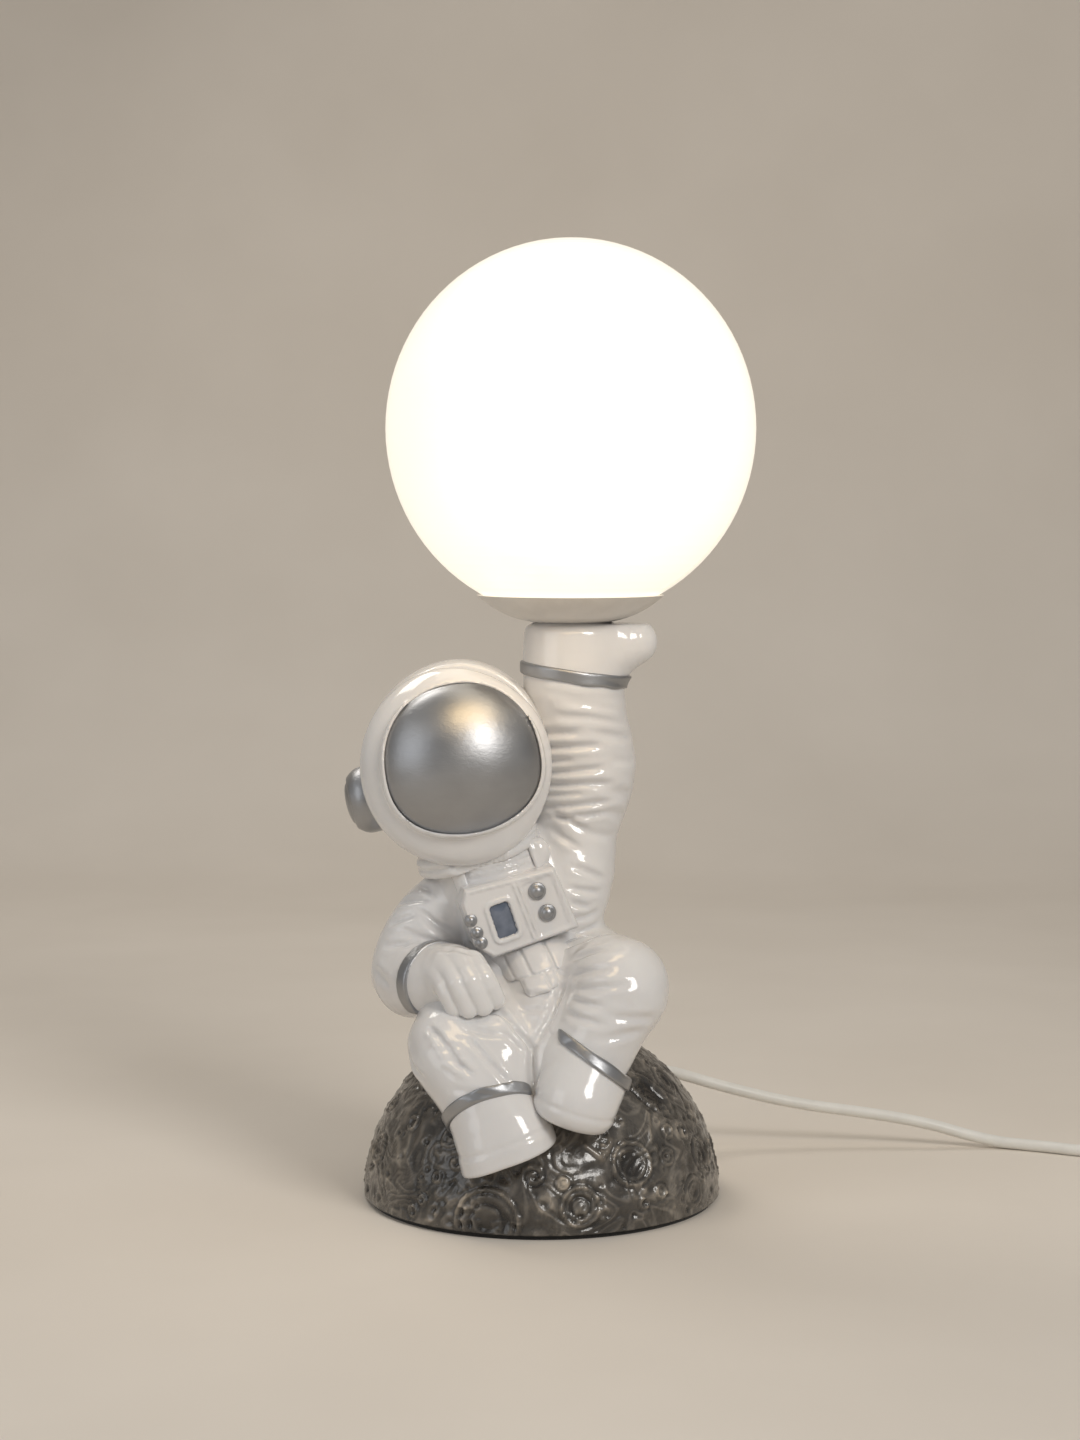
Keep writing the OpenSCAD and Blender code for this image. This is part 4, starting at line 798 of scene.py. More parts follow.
armpit_folds = (((12, -10, 137), (25, -4, 131), (0.2, -0.9, 0.2), 1.6, 1.1),
                ((11, -12.5, 128.5), (23, -6, 126), (0.2, -0.9, 0), 1.4, 1.1),
                ((12, -13.5, 122.5), (20, -10, 120), (0.2, -0.9, 0), 1.3, 0.9),
                ((13, -13, 115.5), (24, -9, 118), (0.2, -0.9, 0), 1.4, 0.9),
                ((15, -13, 109.5), (24, -10.5, 112.5), (0.2, -0.9, 0), 1.3, 0.8),
                ((18, -12, 104), (30, -9.5, 107), (0.2, -0.9, 0), 1.5, 0.7))
lap_folds = (((-18, -46.5, 87), (-9, -54, 78), (0, -0.7, 0.7), 1.5, 1.2),
             ((-10.5, -53.2, 79), (-3.4, -53, 70.5), (0.1, -0.8, 0.5), 1.5, 1.4),
             ((-3.9, -52.8, 72), (-3.2, -57.9, 55), (-0.1, -0.95, 0.25), 1.5, 1.5),
             ((8.5, -40.5, 95), (3.6, -47.5, 83), (-0.3, -0.8, 0.5), 1.6, 1.5),
             ((4.4, -46.5, 84), (-3, -53, 72), (0, -0.85, 0.5), 1.5, 1.5))


def torso_clay(P):
    """The body with its seat, belly and hip, two lines under the collar and the pressed folds."""
    Q = in_torso(P)
    body = roll(Q, [(0, 0, -3, 18), (0, 0, 0, 19.5), (0, 0, 12, 20.4), (0, 0, 26, 22.4),
                    (0, 0, 40, 24.2), (0, 0, 50, 23.6), (0, 0, 60, 21.4)], 2)
    body = np.maximum(body, Q[:, 2] - 63)
    body = melt(body, roll(Q, [(-16, 1, 47, 11), (14, 1, 49, 12)], 1), 6)
    seat = melt(body, roll(Q, [(0, -4, -6, 19), (1, -8, 2, 18.5)], 1), 8)
    belly = roll(P - pelvis, [(3, -12, 4, 18), (5, -22, 6, 17.4), (5, -32, -3, 15.6),
                              (4.5, -38.5, -10, 13.8), (3.5, -43, -17, 13),
                              (2, -47.2, -26, 11.6), (1, -51.5, -34, 9.5)], 2, 1.0)
    seat = melt(seat, belly, 5)
    hip = roll(P - pelvis, [(10, 6, 14, 20), (20, 2, 10, 19), (26, -8, 8, 18)], 2, 1.0)
    seat = melt(seat, hip, 5)
    seat = seat + creases(P, (((-12, -40, 91), (6, -44, 90), (0, -0.9, 0.3), 1.2, 0.6),
                              ((-10, -46, 86), (4, -48, 85), (0, -0.9, 0.3), 1.2, 0.6)))
    for z in (57.2, 59.6):
        line = 0.9 * bell(Q[:, 2] - z + 0.085 * Q[:, 0], 0.75)
        seat = seat - line * (np.abs(Q[:, 0] - 1) < 13) * (Q[:, 1] < 0)
    seat = seat + creases(P, armpit_folds + lap_folds)
    return seat


raised_folds = (
    ((3, -12, 207.6), (34, -2, 204), (0, -1, 0), 1.6, 0.6),
    ((5, -12, 198.5), (18, -13, 197.5), (0, -1, 0), 1.8, 0.7),
    ((-3, -6, 190.5), (14, -12.6, 191.5), (-0.1, -1, 0), 1.7, 1.2),
    ((-2, -6, 185), (24, -11, 186.2), (-0.1, -1, 0), 1.6, 1.4),
    ((0, -8, 179), (12, -11.4, 180.3), (-0.1, -1, 0), 1.6, 1.1),
    ((0, -8, 174.4), (24, -10, 177), (-0.1, -1, 0), 1.5, 1.4),
    ((0, -7, 169.6), (28, -7.7, 170.8), (-0.1, -1, 0), 1.6, 1.5),
    ((0, -7, 165), (18, -10.9, 167), (-0.1, -1, 0), 1.4, 1.1),
    ((0, -5, 160.4), (28, -6.3, 163.2), (-0.1, -1, 0), 1.6, 1.4),
    ((2, -5, 156), (26, -6, 158.6), (-0.1, -1, 0), 1.5, 1.1),
    ((4, -7, 159), (18, -9, 151.3), (-0.1, -1, 0), 1.5, 1.2),
    ((4, -6.5, 151), (15, -9, 144.6), (-0.1, -1, 0), 1.5, 1.1),
    ((22, -11, 191), (38, 2, 187.6), (0.6, -0.8, 0), 2.2, 1.0),
    ((24, -9.5, 168.5), (38, 2, 165), (0.6, -0.8, 0), 2.2, 0.9),
    ((8, -12.6, 204.5), (30, -4, 200.8), (0.3, -0.9, 0), 1.8, 0.8),
    ((16, -13.7, 198.5), (32, -2, 194), (0.4, -0.9, 0), 1.7, 0.6),
    ((29, -8, 180), (39, 2, 178), (0.6, -0.8, 0), 1.8, 0.5),
    ((25, -7.5, 159.4), (37, 2, 155.4), (0.6, -0.8, 0), 2.0, 0.7),
    ((19, -6.7, 150.4), (30, -2, 148), (0.6, -0.8, 0), 1.8, 0.5),
    ((3, 24, 183), (26, 27, 180), (0, 1, 0), 2.0, 1.2),
    ((2, 23, 170), (28, 27, 168), (0, 1, 0), 2.2, 1.3),
    ((4, 22, 158), (27, 25, 154), (0, 1, 0), 1.8, 1.1),
    ((4, 22, 195), (28, 24, 192), (0, 1, 0), 1.8, 1.0))


def raised_clay(P):
    """The raised arm in its sleeve, with the folds gathered round the elbow."""
    sleeve = roll(P - pelvis, raised_path, 2, 1.0)
    return sleeve + creases(P, raised_folds) + creases(P, armpit_folds)


def palm_clay(P):
    """The flat raised palm that carries the cup, with its thumb out to the side."""
    Q = P - pelvis
    d = roll(Q, palm_path, 1)
    column = np.linalg.norm(Q[:, :2] - (16.3, 4), axis=1) - (wrist_r + 0.1)
    d = -melt(-np.where(Q[:, 2] > reach - 34, column, d), -(Q[:, 2] - reach), 5.5)
    thumb = roll(Q, thumb_path, 2)
    d = melt(d, thumb, 7)
    return -melt(-d, -(Q[:, 2] - reach), 1.2)


lowered_folds = (
    ((-50, -15, 120), (-38, -17, 112), (-0.6, -0.7, 0.3), 1.7, 1.1),
    ((-56, -17, 112), (-40, -22, 106), (-0.5, -0.8, 0.2), 1.7, 1.1),
    ((-63, -16, 105), (-52, -23, 108), (-0.8, -0.6, 0.1), 1.5, 0.9),
    ((-61, -11, 113.4), (-51, -16, 118), (-0.7, -0.6, 0.2), 1.6, 1.2),
    ((-58, -5, 121), (-46, -13.5, 124), (-0.6, -0.6, 0.5), 1.6, 1.2),
    ((-50, -4, 129), (-40, -13.5, 124), (-0.5, -0.6, 0.6), 1.5, 0.9),
    ((-66, -16, 96), (-58, -27, 92), (-0.9, -0.4, 0), 2.0, 0.8),
    ((-46, -16.4, 117), (-37, -16, 110), (-0.4, -0.9, 0.1), 1.5, 0.9),
    ((-48, 13, 118), (-62, 8, 106), (-0.5, 0.8, 0.2), 2.0, 1.1),
    ((-44, 14, 108), (-62, 8, 96), (-0.5, 0.8, 0), 2.0, 1.1))


def lowered_clay(P):
    """The lowered arm, bent to bring its hand in front of the belly."""
    return roll(P - pelvis, lowered_path, 3, 1.0) + creases(P, lowered_folds)


def glove_clay(P):
    """The lowered glove, with four fingers pressed together and bent over the lap."""
    Q = P - pelvis
    d = roll(Q, glove_path, 3, 1.0)
    fingers = None
    for root, tip, thick in (((-39.5, -38, 15.5), (-30.4, -50.8, 2.4), 4.3),
                             ((-35, -42, 18.6), (-25, -52.8, 2.6), 4.3),
                             ((-29.4, -44, 20), (-19.4, -52.6, 3.6), 4.4),
                             ((-23.6, -43, 19.4), (-14.8, -50, 5.6), 4.4)):
        root, tip = np.array(root), np.array(tip)
        knuckle = (root + tip) / 2 + (0.4, -5.0, 1.6)
        f = roll(Q, [(*root, thick), (*knuckle, thick), (*tip, thick * 0.94)], 3)
        fingers = f if fingers is None else melt(fingers, f, 0.5)
    d = melt(d, fingers, 2.0)
    return d + fold(P, (-41, -39, 108), (-27, -46, 108), (-0.3, -0.7, 0.6), 1.2, 0.5)


right_folds = (
    ((-44, -54, 79.2), (-38, -59, 76.3), (-0.3, -0.9, 0.3), 1.3, 1.4),
    ((-41.5, -57, 76), (-34.5, -62.5, 73), (-0.2, -0.9, 0.3), 1.3, 1.5),
    ((-39, -61, 73), (-32, -64, 69.4), (-0.2, -0.9, 0.2), 1.3, 1.5),
    ((-37, -62.5, 69.6), (-29.5, -66.5, 66.6), (-0.2, -0.9, 0.2), 1.3, 1.4),
    ((-33, -65, 67), (-26.5, -67, 63.8), (-0.1, -1, 0.1), 1.2, 0.9),
    ((-28, -59, 76), (-20, -64, 68), (0.2, -0.9, 0.3), 1.3, 1.0),
    ((-21, -64, 68.5), (-13, -67, 61), (0.2, -0.9, 0.2), 1.4, 1.0),
    ((-28.5, -54.2, 79), (-16, -57.9, 77.1), (0, -0.8, 0.6), 1.7, 1.0),
    ((-17, -56, 79.1), (-7.4, -57.6, 70.6), (0.2, -0.8, 0.5), 1.5, 0.9),
    ((-34, -66.5, 58), (-15, -70.3, 56.3), (0, -1, 0), 1.5, 0.5),
    ((-26, -46, 86), (-12, -50, 81), (0.1, -0.5, 0.8), 1.7, 1.0),
    ((-52, -45, 68), (-48, -58, 60), (-0.9, -0.4, 0), 1.6, 0.8))
left_folds = (
    ((12, -40, 104), (24, -50, 109.4), (-0.3, -0.8, 0.5), 1.5, 1.0),
    ((10.5, -44, 98), (26, -58, 103.6), (-0.3, -0.9, 0.2), 1.6, 1.0),
    ((12, -52, 94), (33, -62.5, 98), (-0.2, -0.95, 0.1), 1.6, 1.0),
    ((11, -53, 91), (23, -63.5, 89.6), (-0.3, -0.9, 0), 1.5, 0.9),
    ((9.5, -56, 85.5), (24, -65, 83), (-0.3, -0.9, 0), 1.5, 0.8),
    ((22, -66, 77.2), (39, -60, 80), (0.1, -1, 0), 1.8, 0.7),
    ((26, -65, 86), (44, -58, 84), (0.3, -0.9, 0), 1.8, 0.7),
    ((4, -20, 103), (20, -30, 108), (-0.1, -0.6, 0.8), 2.0, 1.2),
    ((12, -20, 107), (26, -24, 109), (0, -0.5, 0.9), 1.7, 1.0),
    ((2, -34, 96), (14, -44, 101), (-0.5, -0.6, 0.6), 1.6, 0.7),
    ((47, -38, 88), (48, -50, 82), (1, -0.2, 0), 1.8, 0.9))


def leg(outer, inner, folds):
    """A leg bent at the knee over the rock, filled inside its knee, with its folds."""
    def field(P):
        limb = melt(roll(P - pelvis, outer, 3, 1.0), roll(P - pelvis, inner, 2, 1.0), 5)
        return limb + creases(P, folds + lap_folds)
    return field


def on_sole(P, body, sole, rounding, crease):
    """A boot cut flat at its sole, with a rounded edge and a faint crease at the sole's joint."""
    at, square = (np.asarray(v, float) for v in sole)
    below = (P - at) @ (square / np.linalg.norm(square))
    s = below + crease
    cut = -melt(-body, -below, rounding)
    return cut + 0.3 * bell(s, 0.9) - 0.2 * bell(s - 2.4, 1.6)


def right_boot_clay(P):
    """The right boot, broad at the toe, with a soft corner down each side."""
    Q = P - pelvis
    d = roll(Q, right_boot_path, 3, 1.0)
    for corner in right_corners:
        d = melt(d, roll(Q, corner, 2, 1.0), 4)
    return on_sole(P, d, right_sole, 1.8, 8.0)


def left_boot_clay(P):
    """The left boot, turned in towards the other, with a rounded toe."""
    Q = P - pelvis
    upper = melt(roll(Q, left_boot_path, 2, 1.0), roll(Q, left_toe_path, 2, 1.0), 6)
    return on_sole(P, upper, left_sole, 3.6, 7.5)


clay = {"torso": torso_clay, "raised": raised_clay, "palm": palm_clay, "lowered": lowered_clay,
        "glove": glove_clay, "right_boot": right_boot_clay, "left_boot": left_boot_clay,
        "right": leg(right_path, right_inner, right_folds),
        "left": leg(left_path, left_inner, left_folds)}


def share(own, neighbours, k=3.0, plane=None, meets=()):
    """One casting's share of the joined figure: the common glazed skin, as far as the joint."""
    def field(P):
        mine = clay[own](P)
        joined, others = mine, None
        for other in neighbours:
            d = clay[other](P)
            joined = melt(joined, d, k)
            others = d if others is None else np.minimum(others, d)
        beyond = np.full(len(P), -9.0, np.float32)
        if others is not None:
            beyond = (mine - others) / 2
        if plane is not None:
            beyond = np.maximum(beyond, plane(P))
        out = np.maximum(joined + 0.22 * np.maximum(beyond, 0), beyond - 2.5)
        for other in meets:
            out = np.maximum(out, -(other(P) + 0.6))
        return out
    return field


def cast(name, node, field, low, high, step=1.0, material=white_glaze, slot="figure_glaze"):
    """A fixed piece of the figure, in place of its node."""
    made = skin(name, field, low, high, step, material)
    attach(made, "lamp")
    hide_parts(node)
    return made


def around_path(paths, room=3.0):
    """The box of mm round some stations, from the pelvis."""
    P = np.array([s for path in paths for s in path])
    low, high = (P[:, :3] - P[:, 3:]).min(0), (P[:, :3] + P[:, 3:]).max(0)
    return low + pelvis - room, high + pelvis + room


cast("torso_cast", "torso",
     share("torso", ("raised", "lowered", "right", "left"), 4.0, meets=(helmet_clay, rock_clay)),
     (-62, -72, 34), (48, 36, 156))
cast("raised_arm_cast", "raised_arm",
     share("raised", ("torso",), 5.0, lambda P: past_seam(P, "raised"), (helmet_clay,)),
     *around_path([raised_path]))
cast("raised_hand_cast", "raised_hand",
     share("palm", ("raised",), 1.5,
           lambda P: np.maximum(-past_seam(P, "raised"), P[:, 2] - palm_top)),
     *around_path([palm_path, thumb_path], 4.0), 0.8)
cast("lowered_arm_cast", "lowered_arm",
     share("lowered", ("torso",), 5.0, lambda P: past_seam(P, "lowered"), (helmet_clay,)),
     *around_path([lowered_path]))
cast("lowered_hand_cast", "lowered_hand",
     share("glove", ("lowered",), 1.5, lambda P: -past_seam(P, "lowered")),
     (-68, -62, 66), (0, -14, 116), 0.7)
cast("right_leg_cast", "right_leg",
     share("right", ("torso", "left"), 4.0, lambda P: past_seam(P, "right"), (rock_clay,)),
     *around_path([right_path, right_inner]))
cast("right_boot_cast", "right_boot",
     share("right_boot", ("right",), 1.5, lambda P: -past_seam(P, "right"), (rock_clay,)),
     *around_path([right_boot_path, *right_corners]), 0.8)
cast("left_leg_cast", "left_leg",
     share("left", ("torso", "right"), 4.0, lambda P: past_seam(P, "left"), (rock_clay,)),
     *around_path([left_path, left_inner]))
cast("left_boot_cast", "left_boot",
     share("left_boot", ("left",), 1.5, lambda P: -past_seam(P, "left"), (rock_clay,)),
     *around_path([left_boot_path, left_toe_path]), 0.8)

# ---- Collar and helmet ----
# The helmet is cast in two halves: a round rear shell and a fat front ring with a rolled lip round
# the visor. A groove shows where they join, and the double-ridged collar carries both.
ridge_at, ridge_r, ridge_heights = 23.8, 2.2, (62.3, 66.0)


def collar_clay(P):
    """Two fat ridges round the neck on a short core."""
    Q = in_torso(P) + np.array([3, 0, 0], np.float32)
    ridge = None
    out = np.linalg.norm(Q[:, :2], axis=1)
    for z in ridge_heights:
        d = np.hypot(out - ridge_at, Q[:, 2] - z) - ridge_r
        ridge = d if ridge is None else melt(ridge, d, 0.6)
    core = np.maximum(out - 24.4, np.abs(Q[:, 2] - 64.1) - 3.6)
    return melt(ridge, core, 1.0)


cast("collar_cast", "collar", lambda P: np.maximum(collar_clay(P), -(helmet_clay(P) + 1.2)),
     (-50, -26, 126), (8, 30, 168), 0.8)

visor_w, visor_h = 62.4, 58.2


def visor_edge(Q):
    """Distance outside the visor's egg-shaped edge, over the helmet's face."""
    z = Q[:, 2]
    x = (Q[:, 0] - 1.0) / (1 - 0.0022 * np.clip(z + 4, -40, 40))
    g = ((np.abs(x) / (visor_w / 2)) ** 2.25 + (np.abs(z) / (visor_h / 2)) ** 2.25) ** (1 / 2.25)
    r = np.hypot(x, z)
    return r - r / np.maximum(g, 1e-3)


front_y, front_ends, rear_starts = -14.0, -4.0, -8.0


def face_clay(P):
    """The front ring with its lip, hollowed behind the visor."""
    Q = in_helmet(P)
    r = np.linalg.norm(Q, axis=1)
    d = melt(front_ring(P), np.where(Q[:, 1] < front_y, r - (helmet_r - 0.6), 9.0), 3.0)
    edge = visor_edge(Q)
    lip = np.hypot(edge - 0.7, r - helmet_r) - 1.0
    d = melt(d, np.where(Q[:, 1] < -8, lip, 9.0), 0.9)
    hole = np.maximum(edge + 0.3, -(r - (helmet_r - 2.6)))
    return np.where(Q[:, 1] < -8, carve(d, hole, 0.5), d)


def helmet_groove(P):
    """The pressed line where the ring and the shell meet."""
    return 1.7 * bell(front_ring(P) - shell_clay(P), 1.2)


def helmet_front_clay(P):
    """The front casting, cut off behind the ring."""
    return np.maximum(face_clay(P) + helmet_groove(P), in_helmet(P)[:, 1] - front_ends)


def helmet_rear_clay(P):
    """The rear casting, which goes in behind the ring."""
    return np.maximum(np.maximum(shell_clay(P) + helmet_groove(P), -(front_ring(P) + 0.3)),
                      rear_starts - in_helmet(P)[:, 1])


def visor_clay(P):
    """The domed visor, a little proud of the helmet and falling off at its edge."""
    Q = in_helmet(P)
    r = np.linalg.norm(Q, axis=1)
    edge = visor_edge(Q)
    dome = r - (helmet_r + 0.5 - 1.2 * np.exp(np.minimum(edge, 0) / 1.5))
    return np.maximum(np.maximum(dome, edge - 0.6), np.maximum(helmet_r - 6 - r, Q[:, 1] + 10))


silver_paint, tree, shader = surface("silver_paint", (0.37, 0.376, 0.39), 0.4, 0.95,
                                     Coat_Weight=0.2, Coat_Roughness=0.28)
patches = pattern(tree, "Noise", 45.0, (1.0, 1.0, 1.6), Detail=3.0, Roughness=0.5)
grain = pattern(tree, "Noise", 420.0, (1.0, 1.0, 1.8), Detail=4.0, Roughness=0.65, Distortion=0.4)
vary(tree, shader, "Base Color", patches.outputs["Fac"], (0.3, (0.34, 0.346, 0.36)),
     (0.7, (0.4, 0.406, 0.42)))
vary(tree, shader, "Roughness", patches.outputs["Fac"], (0.3, grey(0.36)), (0.7, grey(0.44)))
swell = relief(tree, shader, patches.outputs["Fac"], 0.12, 0.001)
relief(tree, shader, grain.outputs["Fac"], 0.26, 0.0004, swell)

box = (helmet_at - helmet_r - 3, helmet_at + helmet_r + 11)
cast("helmet_rear_cast", "helmet_shell", helmet_rear_clay, *box)
cast("helmet_front_cast", "helmet_front", helmet_front_clay, *box, 0.8)
cast("visor_cast", "visor", visor_clay, *box, 0.8, silver_paint, "silver_paint")

# ---- Ear cap ----
# A round cap with a stepped edge, cast on its own and set on the helmet's right side, and brushed
# with the same silver paint as the visor.
ear_at = np.array([-70.1, -4.0, 163.7])
ear_dir = np.array([-0.97, -0.04, -0.237])
ear_dir /= np.linalg.norm(ear_dir)
ear_r, ear_h = 13.7, 9.4


def ear_clay(P):
    """The cap's dome with a low step, let into the helmet."""
    d = P - ear_at
    h = d @ ear_dir
    r = np.linalg.norm(d - h[:, None] * ear_dir, axis=1)
    g = ((r / ear_r) ** 2.3 + (np.maximum(h, 0) / ear_h) ** 2.3) ** (1 / 2.3)
    size = np.hypot(r, np.maximum(h, 0))
    cap = size - size / np.maximum(g, 0.05)
    step = 0.4 * bell(r - 8.8, 0.7) * (h > 0)
    cap = cap + step - 0.25 * bell(r - 10.6, 0.8) * (h > 0)
    return np.maximum(np.maximum(cap, -9 - h), -(helmet_clay(P) + 0.8))


cast("ear_cap_cast", "ear_cap", ear_clay, (-84, -20, 146), (-58, 14, 182), 0.7, silver_paint,
     "silver_paint")

# ---- Chest pack and belt ----
# The control pack is cast with the chest: a slanting box with a framed screen, a rib beside it,
# and silver knobs. Square pouches hang from the belt under it.
pack_out = 29.0
screen_x, screen_z = -5.6, 38.6
outline = np.array([(-16.6, 55.4), (-19.6, 50), (-19.8, 32), (-14, 25.2), (22.6, 25), (20.6, 51.8)],
                   float)


def outline_distance(x, z, corners):
    """Distance to a convex outline, for corners that run anticlockwise."""
    best = None
    for a, b in zip(corners, np.roll(corners, -1, 0)):
        e = (b - a) / np.linalg.norm(b - a)
        d = (x - a[0]) * e[1] - (z - a[1]) * e[0]
        best = d if best is None else np.maximum(best, d)
    return best


def pack_clay(P):
    """The box with its slanting sides, screen frame, two thin ribs and sunk panel."""
    Q = in_torso(P)
    x, y, z = Q.T
    side = outline_distance(x, z, outline)
    front = -y - pack_out
    d = -melt(-side, -front, 2.2)
    frame = np.abs(slab(np.stack([x - screen_x, z - screen_z], 1), 10.4, 16, 2.4)) - 0.95
    d = melt(d, np.maximum(frame, front - 0.8), 0.8)
    for rib in (3.1, 4.9):
        strip = np.maximum(front - 0.7, np.abs(z - 39) - 12)
        d = melt(d, np.maximum(np.abs(x - rib + 0.05 * (z - 40)) - 0.4, strip), 0.7)
    d = melt(d, np.maximum(np.abs(side + 1.4) - 0.45, front - 0.35), 0.6)
    panel = slab(np.stack([x - 12.2 + 0.05 * (z - 40), z - 38.6], 1), 12.2, 21.6, 1.0)
    d = carve(d, np.maximum(panel, -(front + 0.45)), 0.5)
    glass = slab(np.stack([x - screen_x, z - screen_z], 1), 8.4, 14, 1.6)
    d = carve(d, np.maximum(glass, -(front + 0.9)), 0.4)
    d = np.maximum(d, y + 8)
    return d


def pack_joined(P):
    """The box run together with the chest under it."""
    body, pack = clay["torso"](P), pack_clay(P)
    return np.maximum(melt(pack, body, 1.8) + 0.25 * np.maximum(pack - 2.4, 0), pack - 3.4)


cast("chest_pack_cast", "chest_pack",
     lambda P: np.maximum(pack_joined(P), -(clay["left"](P) + 0.3)), (-44, -44, 92), (24, 4, 144),
     0.7)

# Each pouch: its middle across and up, width, height, and how far it stands out.
pouches = [(-11.6, 19.8, 4.4, 8.6, 1.3), (-6.3, 20.3, 5.8, 8.8, 1.5), (1.9, 20.5, 9.0, 9.0, 1.6),
           (14.8, 19.4, 15.0, 9.4, 1.8), (-2.7, 12.6, 8.8, 6.0, 1.5), (4.0, 12.9, 3.6, 5.6, 1.3)]


def pouch_clay(P):
    """The pouches on a thin common pad, a little fuller in the middle of each."""
    Q = in_torso(P)
    body, out, pad = clay["torso"](P), None, None
    for x, z, w, h, proud in pouches:
        flat = slab(np.stack([Q[:, 0] - x, Q[:, 2] - z], 1), w, h, 1.2)
        d = -melt(-flat, -(body - proud - 0.08 * np.minimum(-flat, 3.0)), 0.9)
        out = d if out is None else np.minimum(out, d)
        pad = flat if pad is None else np.minimum(pad, flat)
    out = melt(out, -melt(-(pad - 0.9), -(body - 0.8), 0.8), 0.5)
    return np.maximum(np.maximum(out, Q[:, 1] + 8), -(body + 4))


cast("belt_pouches_cast", "belt_pouches",
     lambda P: np.maximum(pouch_clay(P), -(clay["left"](P) + 1.0)), (-28, -50, 76), (30, 0, 122),
     0.6)

screen_blue, tree, shader = surface("screen_blue", (0.13, 0.16, 0.22), 0.12, Coat_Weight=0.5,
                                    Coat_Roughness=0.05)
haze = pattern(tree, "Noise", 160.0, Detail=3.0)
vary(tree, shader, "Base Color", haze.outputs["Fac"], (0.3, (0.1, 0.125, 0.175)),
     (0.7, (0.17, 0.2, 0.265)))


def screen_clay(P):
    """The screen's glass, slightly domed in its frame."""
    Q = in_torso(P)
    flat = slab(np.stack([Q[:, 0] - screen_x, Q[:, 2] - screen_z], 1), 8.6, 14.2, 1.6)
    crown = -Q[:, 1] - (pack_out - 0.75 + 0.12 * np.minimum(-flat, 3.5))
    return np.maximum(np.maximum(flat, crown), Q[:, 1] + 26)


cast("chest_screen_cast", "chest_screen", screen_clay, (-30, -40, 100), (4, -18, 140), 0.6,
     screen_blue, "screen_blue")


def knobs(name, node, places, d, foot_d):
    """Round silver knobs seated on the pack's front, each in a raised ring."""
    def field(P):
        Q = in_torso(P)
        out = None
        for x, z in places:
            r = np.hypot(Q[:, 0] - x, Q[:, 2] - z)
            ball = np.sqrt(r ** 2 + (1.1 * (Q[:, 1] + pack_out - 0.1)) ** 2) - d / 2
            foot = np.hypot(r - foot_d / 2 + 0.5, Q[:, 1] + pack_out) - 0.6
            b = np.maximum(melt(ball, foot, 0.3), Q[:, 1] + pack_out - 1.2)
            out = b if out is None else np.minimum(out, b)
        return out
    corners = np.array([from_torso((x, -pack_out, z)) for x, z in places])
    return cast(name, node, field, corners.min(0) - d - 1, corners.max(0) + d + 1, 0.4,
                silver_paint, "silver_paint")


knobs("large_knobs_cast", "large_knobs", [(10.8, 45), (12, 35.3)], 5.4, 7.0)
knobs("small_knobs_cast", "small_knobs", [(-18.1, 43), (-17.4, 37.4), (-17, 33)], 3.9, 5.2)

# ---- Straps and backpack ----
# Two flat shoulder straps run over the chest to a round-cornered backpack with a raised lid and
# two tanks. They are cast in the same white earthenware and glazed with the suit.


def strap_clay(P):
    """Two flat straps over the chest, with a round buckle on the left one."""
    Q = in_torso(P)
    body = roll(Q, [(0, 0, 26, 22.4), (0, 0, 40, 24.2), (0, 0, 50, 23.6), (0, 0, 60, 21.4)], 2)
    out = None
    for x, w in ((-15.8, 5.0), (17.4, 6.0)):
        d = -melt(-(np.abs(Q[:, 0] - x) - w / 2), -(body - 2.3), 1.8)
        out = d if out is None else np.minimum(out, d)
    buckle = np.linalg.norm((Q - (18.4, -14.5, 57)) / (1, 1, 1.35), axis=1) - 4.6
    out = melt(np.maximum(out, -(body + 3)), buckle, 1.5)
    return np.maximum(out, np.maximum(Q[:, 2] - 63, 28 - Q[:, 2]))


def strap_fit(P):
    """The straps as far as the pack, the helmet and the collar."""
    d = np.maximum(strap_clay(P), -(pack_clay(P) + 0.8))
    d = np.maximum(d, -(helmet_clay(P) + 0.6))
    return np.maximum(d, -(collar_clay(P) + 0.9))


cast("straps_cast", "shoulder_straps", strap_fit, (-50, -34, 100), (26, 34, 156), 0.8)


def backpack_clay(P):
    """The box behind, with its lid, two upright tanks and a line under the lid."""
    Q = in_torso(P)
    main = block(Q - (0, 19, 31), (42, 38, 46), 6)
    lid = block(Q - (0, 24, 45), (38, 30, 16), 5)
    tank = np.minimum(roll(Q, [(-10, 33, 16, 7.2), (-10, 33, 40, 7.2)], 1),
                      roll(Q, [(10, 33, 16, 7.2), (10, 33, 40, 7.2)], 1))
    d = melt(melt(main, lid, 1.6), np.maximum(tank, Q[:, 1] - 38.6), 2.0)
    d = d + 0.5 * bell(np.abs(Q[:, 2] - 36.5), 0.9)
    return np.maximum(d, -(clay["torso"](P) + 1.5))


cast("backpack_cast", "backpack", lambda P: np.maximum(backpack_clay(P), -(helmet_clay(P) + 0.8)),
     (-48, -2, 84), (30, 52, 148))
